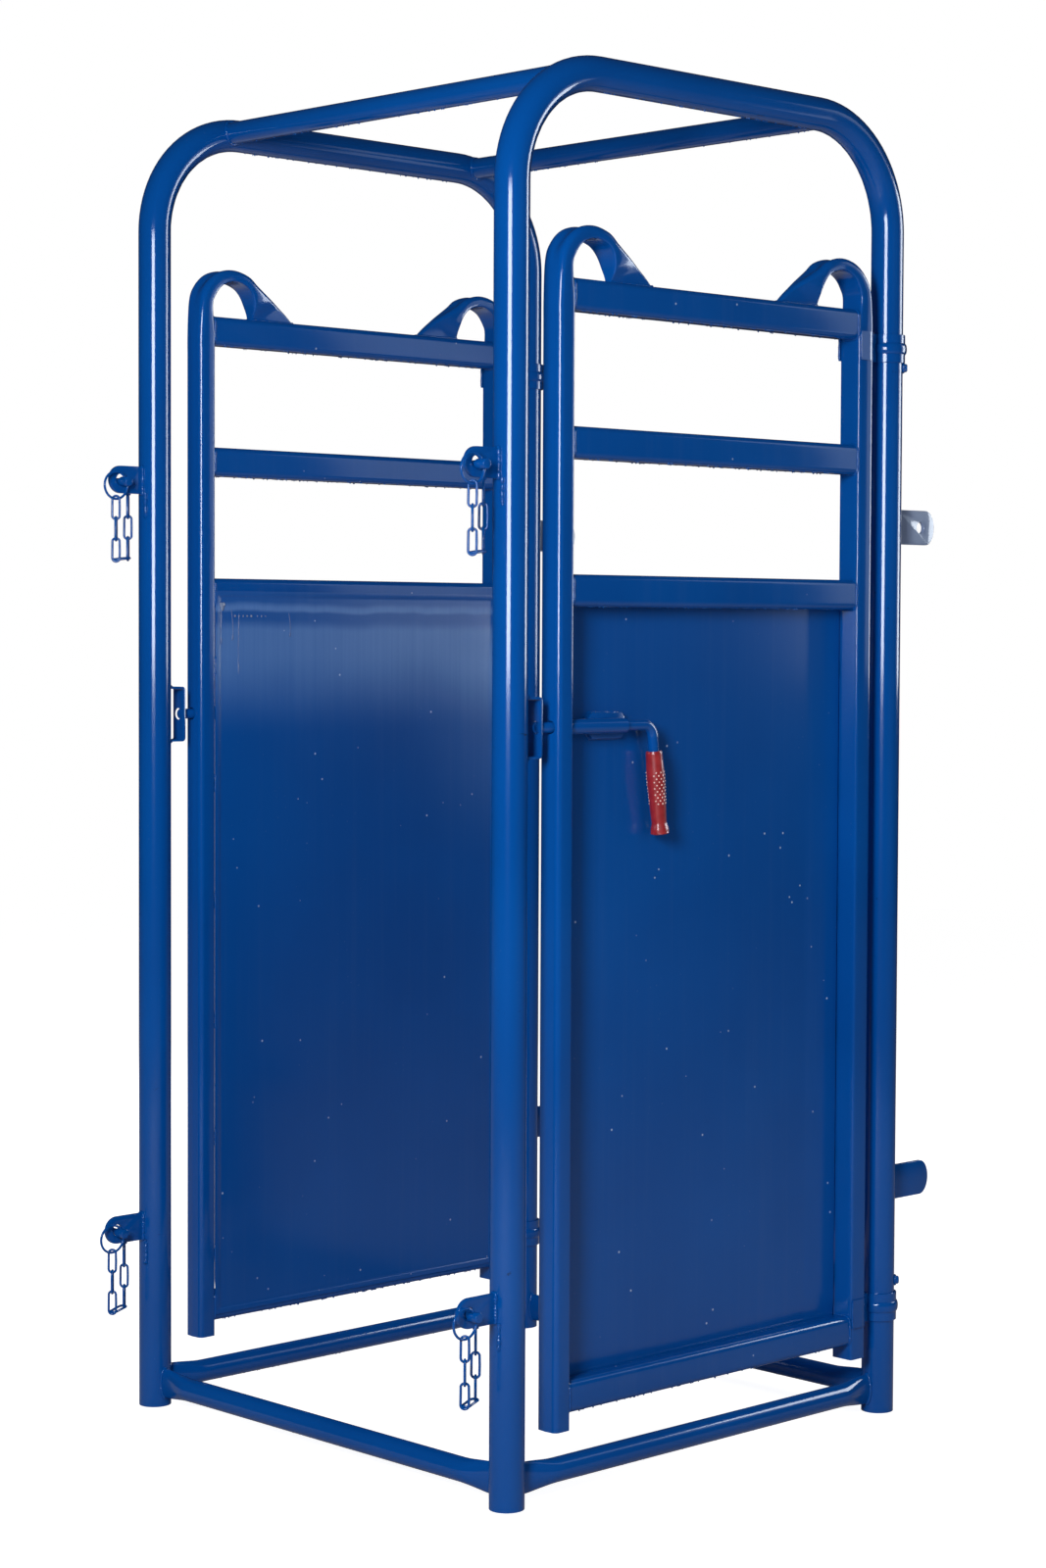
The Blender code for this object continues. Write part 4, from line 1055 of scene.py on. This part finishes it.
keepers = {
    "web": 0.0500,  # post axis to the outer face
    "height": 0.0870,
    "width": 0.0280,
    "thickness": 0.0032,
    "bend": 0.0060,
    "bite": 0.0005,
    "rounding": 0.0004,
    "drillHalf": 0.012,
    "beadShare": 0.94,
}
stops = {
    "radius": 0.0065,
    "reach": 0.0070,
    "narrow": 0.6,
    "angle": math.radians(-45),
    "lift": 0.0110,
    "bite": 0.0006,
    "beadRadius": 0.0064,
    "beadOff": 0.0004,
}
straps = {
    "z": {"upper": 1.6810, "lower": 0.1690},
    "height": 0.0440,
    "thickness": 0.0030,
    "clearance": 0.0005,
    "neck": 0.0070,
    "bead": 0.0170,
    "beadDepth": 0.0028,
    "edge": 0.0005,
}


def keeper(name, side):
    half = keepers["height"] / 2

    def line(depth, edge):
        bend = keepers["bend"] - depth
        made = [(edge, half - depth)]
        for angle in arc(math.pi / 2, 0, 8):
            along = keepers["web"] - keepers["bend"] + bend * math.cos(angle)
            made.append((along, half - keepers["bend"] + bend * math.sin(angle)))
        return made + [(x, -z) for x, z in reversed(made)]

    rings, beads = [], {1: [], -1: []}
    for out in arc(-keepers["width"] / 2, keepers["width"] / 2, 12):
        edge = math.sqrt(seatRadius**2 - out**2) - keepers["bite"]
        outline = line(0.0, edge) + line(keepers["thickness"], edge)[::-1]
        rings.append([world(side, x, out, boltZ + z) for x, z in outline])
        out *= keepers["beadShare"]
        for sign, bead in beads.items():
            reach = math.sqrt(postRadius**2 - out**2) + welds["off"]
            bead.append(world(side, reach, out, boltZ + sign * half))
    piece = solid(name, rings)
    start, end = keepers["web"] - keepers["drillHalf"], keepers["web"] + keepers["drillHalf"]
    ends = [world(side, along, boltOut, boltZ) for along in (start, end)]
    drill(piece, *ends, gate["boltHole"])
    cageLines.extend((beads[sign], False) for sign in (-1, 1))
    return bevel(piece, keepers["rounding"], 2, 50)


def hingeStop(name, side, z):
    outward = Vector((math.cos(stops["angle"]), -side * math.sin(stops["angle"]), 0))
    across = Vector((-outward.y, outward.x, 0))
    centre = world(side, span, 0, z)

    def ring(count, radius, reach):
        return [centre + outward * (seatRadius + reach) + across * u + lift(v) for u, v in circle(count, radius)]

    narrow = stops["narrow"]
    profile = [(-stops["bite"], 1.0), (stops["reach"] * narrow, 1.0)]
    for angle in arc(0, math.pi / 2, 6)[1:]:
        reach = stops["reach"] * (narrow + (1 - narrow) * math.sin(angle))
        profile.append((reach, narrow + (1 - narrow) * math.cos(angle)))
    cageLines.append((ring(24, stops["beadRadius"], stops["beadOff"]), True))
    return solid(name, [ring(32, stops["radius"] * scale, reach) for reach, scale in profile])


def strapOutline(bulge):  # plan points, along from the post axis and out
    sleeve = postRadius + straps["clearance"] + straps["thickness"] + bulge
    halfNeck = straps["neck"] / 2
    inner = halfWide + seatGap
    outer = inner + straps["thickness"]
    nose = -(gate["hingeGap"] + halfWide)
    flat = -(gate["hingeGap"] + gate["stileDepth"])
    saddle = math.asin(halfNeck / outer)
    start = math.atan2(halfNeck, -math.sqrt(sleeve**2 - halfNeck**2))

    def bend(middle, radius, angles):
        return [(middle + radius * math.cos(angle), radius * math.sin(angle)) for angle in angles]

    points = [(flat, outer), *bend(nose, outer, arc(math.pi / 2, saddle, 16))]
    points += bend(0.0, sleeve, arc(start, -start, 56)) + bend(nose, outer, arc(-saddle, -math.pi / 2, 16))
    points += [(flat, -outer), (flat, -inner), *bend(nose, inner, arc(-math.pi / 2, math.pi / 2, 32))]
    return points + [(flat, inner)]


def hingeStrap(name, side, z):
    half, edge = straps["height"] / 2, straps["edge"]
    heights = [(-half, -edge), (-half + edge, 0.0)]
    for angle in arc(-math.pi / 2, math.pi / 2, 12):
        heights.append((straps["bead"] / 2 * math.sin(angle), straps["beadDepth"] * math.cos(angle)))
    heights += [(half - edge, 0.0), (half, -edge)]
    rings = [[world(side, span + x, y, z + up) for x, y in strapOutline(bulge)] for up, bulge in heights]
    piece = solid(name, rings)
    ends = [world(side, span, 0, z + up) for up in (-straps["height"], straps["height"])]
    return drill(piece, *ends, postRadius + straps["clearance"], 72)


for hand, side in sides.items():
    dress(keeper(hand + "Keeper", side), smallPaint, "cage", hand + "_keeper")
    reach = straps["height"] / 2 + stops["radius"]
    low = straps["z"]["lower"] + reach + stops["lift"]
    high = straps["z"]["upper"] - reach - seatGap
    for level, z in (("upper", high), ("lower", low)):
        dress(hingeStop(f"{hand}{level.capitalize()}Stop", side, z), smallPaint, "cage", f"{hand}_{level}_stop")
    for level, z in straps["z"].items():
        strap = hingeStrap(f"{hand}{level.capitalize()}Strap", side, z)
        dress(strap, tubePaint, hand + "_gate", f"{hand}_{level}_strap")
print("keepers, stops and straps made")


# latch guide, its bracket, the bent bolt and the grip

guide = {"radius": 0.0111, "wall": 0.0023, "length": 0.1190, "soft": 0.0006, "softRun": 0.0007}
bracket = {
    "start": 0.1640,
    "length": 0.0740,
    "halfHeight": 0.0190,
    "corner": 0.0080,
    "rounding": 0.0012,
    "bite": 0.0008,
    "seamStart": 0.006,
    "seamEnd": 0.014,
    "seamUp": 0.0062,
    "seamOff": 0.0012,
}
bolt = {
    "radius": 0.00795,
    "rounding": 0.0020,
    "tip": 0.0508,
    "bend": 0.0200,
    "corner": 0.2815,
    "lean": math.radians(6.6),
    "endGap": 0.0006,
}
grip = {
    "drop": 0.0390,  # corner to its upper end
    "length": 0.1230,
    "radius": 0.01125,
    "wall": 0.0060,
    "profile": (  # share of the length and of the radius
        (0, 1.02), (0.03, 1.09), (0.32, 1.19), (0.62, 1.09), (0.85, 1.0), (0.95, 1.22), (0.985, 1.24), (1, 1.0)
    ),
    "steps": 80,
    "sides": 42,
    "rows": 11,
    "rowPitch": 0.0046,
    "firstRow": 0.0310,
    "around": 11,
    "dot": 0.0013,
    "sunk": 0.0001,
    "ripples": 7,
    "ripple": 0.0006,
    "flareFrom": 0.80,
    "flareRun": 0.1,
    "mouldLine": 0.94,
}
guideFront = boltOut - guide["radius"]
fieldOut = sheet["dish"] - railOut


def latchGuide(name, side):
    start = latchFlat + seatGap
    end = start + guide["length"]

    def rings(radius, softer):
        made = []
        for along, size in ((start, radius), (end - guide["softRun"], radius), (end, radius + softer)):
            made.append([world(side, along, boltOut + v, boltZ + u) for u, v in circle(36, size)])
        return made

    inner = rings(guide["radius"] - guide["wall"], guide["soft"])
    return tube(name, rings(guide["radius"], -guide["soft"]), inner)


def bracketOutline(side, out):
    half, cut = bracket["halfHeight"], bracket["corner"]
    start, end = bracket["start"], bracket["start"] + bracket["length"]
    outline = [(start + cut, half), (end - cut, half), (end, half - cut), (end, cut - half)]
    outline += [(end - cut, -half), (start + cut, -half), (start, cut - half), (start, half - cut)]
    return [world(side, x, out, boltZ + z) for x, z in outline]


def guideBracket(name, side):
    rings = [bracketOutline(side, out) for out in (guideFront - seatGap, fieldOut - bracket["bite"])]
    return bevel(solid(name, rings), bracket["rounding"], 3, 35)


def legPoint(side, reach):  # down the bolt's handle leg from its corner
    along, down = reach * math.sin(bolt["lean"]), reach * math.cos(bolt["lean"])
    return world(side, bolt["corner"] + along, boltOut, boltZ - down)


def slideBolt(name, side):
    radius, soft, bend = bolt["radius"], bolt["rounding"], bolt["bend"]
    turn = math.pi / 2 - bolt["lean"]
    straight = bolt["corner"] - bend * math.tan(turn / 2)
    points, shares = [], []
    for angle in arc(0, math.pi / 2, 5):
        points.append(world(side, bolt["tip"] + soft * (1 - math.cos(angle)), boltOut, boltZ))
        shares.append((radius - soft * (1 - math.sin(angle))) / radius)
    for angle in arc(0, turn, 24):
        z = boltZ - bend * (1 - math.cos(angle))
        points.append(world(side, straight + bend * math.sin(angle), boltOut, z))
    points.append(legPoint(side, grip["drop"] + grip["length"] - grip["wall"] - bolt["endGap"]))
    return rod(name, points, radius, shares + [1.0] * (len(points) - len(shares)), 32)


def gripRadius(down):
    share = down / grip["length"]
    for (a, low), (b, high) in zip(grip["profile"], grip["profile"][1:]):
        if share <= b:
            return grip["radius"] * (low + (high - low) * eased((share - a) / (b - a)))
    return grip["radius"] * grip["profile"][-1][1]


def gripPoint(side, down, radius, angle):  # a point of the grip and its outward direction
    across = Vector((math.cos(bolt["lean"]), 0, math.sin(bolt["lean"])))
    outward = across * math.cos(angle) + Vector((0, side * math.sin(angle), 0))
    return legPoint(side, grip["drop"] + down) + outward * radius, outward


def gripSleeve(name, side):
    turns = arc(0, 2 * math.pi, grip["sides"])[:-1]
    outer = []
    for step, down in enumerate(arc(0, grip["length"], grip["steps"])):
        flare = eased((down / grip["length"] - grip["flareFrom"]) / grip["flareRun"])
        if step >= grip["steps"] - 1:
            flare = 0
        ring = []
        for angle in turns:
            radius = gripRadius(down) - grip["ripple"] * flare * (1 - math.cos(grip["ripples"] * angle)) / 2
            ring.append(gripPoint(side, down, radius, angle)[0])
        outer.append(ring)
    bore = bolt["radius"] + seatGap
    depths = (0.0, grip["length"] - grip["wall"])
    inner = [[gripPoint(side, down, bore, angle)[0] for angle in turns] for down in depths]
    return tube(name, outer, inner, True)


def dotTree():  # a low dome on every point, standing along the point's direction
    tree = Geo("gripDots", dot=0.0012, rise=0.8, material=paleVinyl)
    dome = tree.make("GeometryNodeMeshIcoSphere", values={"Radius": tree.size("dot"), "Subdivisions": 2})
    turn = tree.make("FunctionNodeAlignRotationToVector", {"axis": "Z"}, {"Vector": tree.attribute("outward")})
    flat = tree.make("ShaderNodeCombineXYZ", values={"X": 1.0, "Y": 1.0, "Z": tree.size("rise")})
    return tree.end(tree.spread(tree.size("Points"), dome, Rotation=turn, Scale=flat))


gripDots = dotTree()
for hand, side in sides.items():
    body, slider = hand + "_gate", hand + "_latch_bolt"
    dress(latchGuide(hand + "LatchGuide", side), smallPaint, body, hand + "_latch_guide")
    dress(guideBracket(hand + "GuideBracket", side), smallPaint, body, hand + "_guide_bracket")
    dress(slideBolt(hand + "Bolt", side), tubePaint, slider, hand + "_bolt")
    dress(gripSleeve(hand + "Grip", side), redVinyl, slider, hand + "_grip", slot="red_vinyl")
    places, outwards = [], []
    for row in range(grip["rows"]):
        down = grip["firstRow"] + row * grip["rowPitch"]
        for n in range(grip["around"]):
            angle = 2 * math.pi * (n + (row % 2) / 2) / grip["around"]
            if abs(math.cos(angle)) > grip["mouldLine"]:  # which is left plain
                continue
            place, outward = gripPoint(side, down, gripRadius(down) - grip["sunk"], angle)
            places.append(place)
            outwards.append(outward)
    dots = gripDots.run(hand + "GripDots", places, (), {"outward": outwards}, dot=grip["dot"])
    dress(dots, paleVinyl, slider, slot="red_vinyl", angle=80)
print("latches made")


# weld beads


def gateBeads(side):
    made = []
    outline = roundedBox(railOut, railUp, gate["railCorner"], 4)
    for z in gate["rails"].values():
        for along in (latchFlat + welds["offRail"], hingeFlat - welds["offRail"]):
            made.append(([world(side, along, u, z + v) for u, v in outline], True))
    foot = roundedBox(loop["footHalf"], loop["footThickness"] / 2, welds["footCorner"], 3)
    for middle in (gate["noseGap"] + loop["footAlong"], span - gate["hingeGap"] - loop["footAlong"]):
        made.append(([world(side, middle + u, v, loopZ) for u, v in foot], True))
    edge = halfWide + straps["thickness"] * welds["strapOut"]
    rise = straps["height"] / 2 - welds["strapShort"]
    along = hingeFlat + welds["off"]
    for z in straps["z"].values():
        for out in (-edge, edge):
            made.append(([world(side, along, out, z + up) for up in (-rise, 0.0, rise)], False))
    along = latchFlat + welds["offGuide"]
    ring = [world(side, along, boltOut + v, boltZ + u) for u, v in circle(20, guide["radius"])]
    made += [(ring, True), (bracketOutline(side, fieldOut - welds["off"]), True)]
    ends = (bracket["start"] + bracket["seamStart"], bracket["start"] + bracket["length"] - bracket["seamEnd"])
    out = guideFront + bracket["seamOff"]
    for up in (-bracket["seamUp"], bracket["seamUp"]):
        made.append(([world(side, x, out, boltZ + up) for x in ends], False))
    return made


def stitches(side):  # short beads that hold the sheet's edges to the stiles
    made = []
    out = rimOut - sheet["thickness"] / 2
    for along in (latchFlat + sheet["latchSlit"] / 2, hingeFlat - sheet["hingeSlit"] / 2):
        z = sheet["bottom"] + welds["stitchFrom"]
        while z < sheet["top"] - welds["stitchTo"]:
            made.append(([world(side, along, out, z + up) for up in (0, welds["stitch"])], False))
            z += welds["stitchPitch"]
    return made


def railBeads(post, other):  # round a bottom rail's pinched end
    away = (other - post).normalized()
    across = lift(1).cross(away)
    line = []
    for c, s in circle(32, 1.0):
        wide = (bottomRails["pinchHalfWidth"] + welds["pinchWider"]) * c
        high = (bottomRails["pinchHalfHeight"] + welds["pinchHigher"]) * s
        reach = math.sqrt(postRadius**2 - wide**2) + welds["offPinch"]
        line.append(post + away * reach + across * wide + lift(high))
    return line, True


def topTubeBeads(side, along):
    line = []
    for u, v in circle(32, topTubes["radius"] + seatGap):
        reach = archSurface(along + u, archZ + v) + welds["off"]
        line.append(world(side, along + u, -reach, archZ + v))
    return line, True


def addBeads(name, body, lines, **sizes):
    dress(weldBead.run(name, *asLines(lines), **sizes), beadPaint, body, angle=80)


for start, end in railRuns:
    cageLines += [railBeads(start, end), railBeads(end, start)]
for along in topTubeAlong.values():
    cageLines += [topTubeBeads(side, along) for side in sides.values()]
addBeads("cageWelds", "cage", cageLines, radius=welds["cageRadius"])
for hand, side in sides.items():
    addBeads(hand + "GateWelds", hand + "_gate", gateBeads(side), radius=welds["gateRadius"])
    addBeads(hand + "GateStitches", hand + "_gate", stitches(side), radius=welds["stitchRadius"])
sizes = {"radius": welds["lugRadius"], "lumps": welds["lugLumps"], "pitch": welds["lugPitch"]}
addBeads("lugWelds", "cage", lugLines, **sizes)
print("weld beads made")


# drops and runs of dried paint

drips = {
    "inset": 0.022,
    "fromEdge": 0.0030,
    "panelRow": (0.022, 0.110, 1.2580),  # from the latch edge, to where, and height
    "run": 0.0006,
    "pool": (0.013, 1.2740, 0.0066),  # from the latch edge, height and size of the pooled paint
    "runs": ((0.012, 1.276, 0.064), (0.031, 1.270, 0.052), (0.047, 1.262, 0.098), (0.150, 1.264, 0.040)),
    "steps": 14,
    "bow": 0.0035,
    "bowTurn": 2.4,
    "tip": 0.35,
    "foot": 1.9,
    "lobes": 0.25,
    "squash": (0.75, 0.32),
    "order": Vector((1.0, 7.3, 101.7)),
    "archOut": 0.002,
    "archInset": 0.01,  # from the bends
    "railInset": 0.12,
    "topInset": 0.04,
    "sunk": 0.0004,
    "rowOff": 0.0002,
    "railSunk": 0.0006,
    "seeds": (11, 12, 13, 14, 15),
}
seeds = iter(drips["seeds"])
panelInside = rimOut - sheet["thickness"]


def cageDrops():
    arch = archZ - postRadius + seatGap
    rail = bottomRails["z"] - bottomRails["radius"] + drips["sunk"]
    top = archZ - topTubes["radius"] + drips["sunk"]
    bend = cage["bendRadius"] + drips["archInset"]
    inset = drips["railInset"]
    made = []
    for side in sides.values():
        made.append([world(side, along, drips["archOut"], arch) for along in (bend, span - bend)])
        made.append([world(side, along, 0, rail) for along in (inset, span - inset)])
    made += [[world(side, along, 0, rail) for side in sides.values()] for along in postAlong.values()]
    for along in topTubeAlong.values():
        made.append([world(side, along, -drips["topInset"], top) for side in sides.values()])
    return made


def gateDrops(side):  # along the two lower corners of each rail
    reach = railOut - gate["railCorner"] + drips["fromEdge"]
    ends = (latchFlat + drips["inset"], hingeFlat - drips["inset"])
    lows = [z - railUp + drips["railSunk"] for z in gate["rails"].values()]
    return [[world(side, along, out, low) for along in ends] for low in lows for out in (-reach, reach)]


def addDrops(name, body, lines, paint=smallPaint):
    lines = asLines([(line, False) for line in lines])
    dress(paintDrops.run(name, *lines, seed=next(seeds)), paint, body, angle=80)


def paintPool(name, side):
    along, z, size = drips["pool"]
    wide, deep = drips["squash"]
    bm = bmesh.new()
    bmesh.ops.create_uvsphere(bm, u_segments=20, v_segments=12, radius=size)
    for vert in bm.verts:
        lean = 1 + drips["lobes"] * math.sin(3 * math.atan2(vert.co.z, vert.co.x))
        vert.co = Vector((vert.co.x * wide * lean, vert.co.y * deep, vert.co.z * lean))
        vert.co += world(side, latchFlat + along, panelInside, z)
    bm.verts.sort(key=lambda vert: vert.co.dot(drips["order"]))  # the sphere's own order varies
    bm.faces.sort(key=lambda face: face.calc_center_median().dot(drips["order"]))
    return newObject(name, bm)


def paintRun(name, side, along, z, fall, sway):  # thin at both ends, with a bead at its foot
    points, shares = [], []
    for step, down in enumerate(arc(0, 1, drips["steps"])):
        bow = drips["bow"] * math.sin(down * drips["bowTurn"]) * sway
        points.append(world(side, latchFlat + along + bow, panelInside, z - fall * down))
        shares.append(0.8 + 0.2 * math.sin(5 * down) if step < drips["steps"] - 2 else drips["foot"])
    shares[0] = shares[-1] = drips["tip"]
    return rod(name, points, drips["run"], shares, 8)


addDrops("cageDrops", "cage", cageDrops())
for hand, side in sides.items():
    addDrops(hand + "GateDrops", hand + "_gate", gateDrops(side))
for hand, side in sides.items():
    body = hand + "_gate"
    # the drops, pool and runs on the sheet's inner face are painted pale as painted highlight
    start, end, z = drips["panelRow"]
    row = [world(side, latchFlat + along, panelInside - drips["rowOff"], z) for along in (start, end)]
    addDrops(hand + "PanelDrops", body, [row], dullPaint)
    dress(paintPool(hand + "PaintPool", side), dullPaint, body, angle=80)
    for number, run in enumerate(drips["runs"]):
        run = paintRun(f"{hand}PaintRun{number}", side, *run, 1 if number % 2 else -0.4)
        dress(run, driedPaint, body, angle=80)
print("paint drops made")


# stage, lamps and camera

studio = {
    "floor": (0.50, 0.50, 0.505, 1),
    "floorRadius": 9.0,
    "floorZ": -0.0006,
    "floorGlow": 0.93,  # how much of the floor's white the camera sees without light
    "worldLight": 0.13,
    "backdropInPaint": 0.02,  # share of the white backdrop that the paint mirrors
    "lamps": (
        # name, place, aimed at, width, height, power, colour, seen in the gloss only
        ("keyLamp", (-3.0, -1.85, 1.9), (0, 0, 1.1), 0.7, 1.0, 92, (1, 1, 1), False),
        ("fillLamp", (0.8, -3.4, 1.5), (0, 0, 1.0), 2.4, 2.4, 15, (1, 1, 1), False),
        ("backLamp", (2.0, 3.2, 2.2), (0, 0, 1.1), 2.0, 2.0, 80, (1, 1, 1), False),
        ("leftStrip", (-3.68, -2.71, 1.80), (0, 0, 1.80), 1.6, 1.4, 150, (0.84, 0.92, 1), True),
        ("rightSoftbox", (2.75, -1.35, 1.78), (0, 0, 1.78), 0.9, 1.35, 36, (0.84, 0.92, 1), True),
        ("cornerGlow", (1.85, -1.55, 1.95), (0, 0.4, 1.95), 0.4, 1.6, 2.4, (0.72, 0.86, 1), True),
    ),
}
view = {
    "fromNearPost": (-2.98286, -3.16348, 1.24521),
    "yaw": 0.7782,
    "pitch": -0.0411,
    "roll": 0.0051,
    "lens": 71.50,
    "shift": (-0.0356, -0.0193),
}


def rays(nodes, kind):  # 1 for rays of this kind and 0 for the others
    return nodes.make("ShaderNodeLightPath", output=f"Is {kind} Ray")


def makeWorld():
    sky = bpy.data.worlds.new("studio")
    bpy.context.scene.world = sky
    sky.use_nodes = True
    sky.node_tree.nodes.clear()
    nodes = Nodes(sky.node_tree)

    def white(strength):
        return nodes.make("ShaderNodeBackground", values={"Color": (1, 1, 1, 1), "Strength": strength})

    def blend(share, first, second):
        return nodes.make("ShaderNodeMixShader", values={0: share, 1: first, 2: second})

    mirrored = rays(nodes, "Glossy") + rays(nodes, "Transmission")
    unseen = blend(mirrored, white(studio["worldLight"]), white(0.0))
    seen = rays(nodes, "Camera") + studio["backdropInPaint"] * mirrored
    output = sky.node_tree.nodes.new("ShaderNodeOutputWorld")
    nodes.feed(output, {"Surface": blend(seen, unseen, white(1.0))})


def makeFloor():
    bm = bmesh.new()
    bmesh.ops.create_circle(bm, cap_ends=True, segments=96, radius=studio["floorRadius"])
    floor = newObject("studioFloor", bm)
    floor.location.z = studio["floorZ"]
    cover = Shader("studioFloor")
    floor.data.materials.append(cover.finish(Base_Color=studio["floor"], Roughness=0.9, Specular_IOR_Level=0.0))
    base = Wire(cover, cover.tree.nodes["Principled BSDF"].outputs[0])
    glow = cover.make("ShaderNodeEmission", values={"Strength": rays(cover, "Camera") * studio["floorGlow"]})
    both = cover.make("ShaderNodeAddShader", values={0: base, 1: glow})
    cover.feed(cover.tree.nodes["Material Output"], {"Surface": both})


def makeLamps():
    for name, place, aim, width, height, power, colour, glossOnly in studio["lamps"]:
        lamp = bpy.data.lights.new(name, "AREA")
        lamp.shape = "RECTANGLE"
        lamp.size = width
        lamp.size_y = height
        lamp.energy = power
        lamp.color = colour
        holder = show(name, lamp)
        holder.visible_glossy = glossOnly
        holder.visible_diffuse = not glossOnly
        holder.location = place
        holder.rotation_euler = (Vector(aim) - Vector(place)).to_track_quat("-Z", "Y").to_euler()


def makeCamera():
    lens = bpy.data.cameras.new("viewCamera")
    lens.sensor_width = 36.0
    lens.lens = view["lens"]
    lens.shift_x, lens.shift_y = view["shift"]
    lens.clip_end = 60
    camera = show("viewCamera", lens)
    camera.location = Vector((frontX, -halfWidth, 0)) + Vector(view["fromNearPost"])
    yaw, pitch = view["yaw"], view["pitch"]
    ahead = Vector((math.sin(yaw) * math.cos(pitch), math.cos(yaw) * math.cos(pitch), math.sin(pitch)))
    turn = ahead.to_track_quat("-Z", "Y").to_matrix()
    camera.rotation_euler = (turn @ Matrix.Rotation(view["roll"], 3, "Z")).to_euler()
    bpy.context.scene.camera = camera


makeWorld()
makeFloor()
makeLamps()
makeCamera()
bpy.context.scene.view_settings.view_transform = "Standard"
print("studio made")
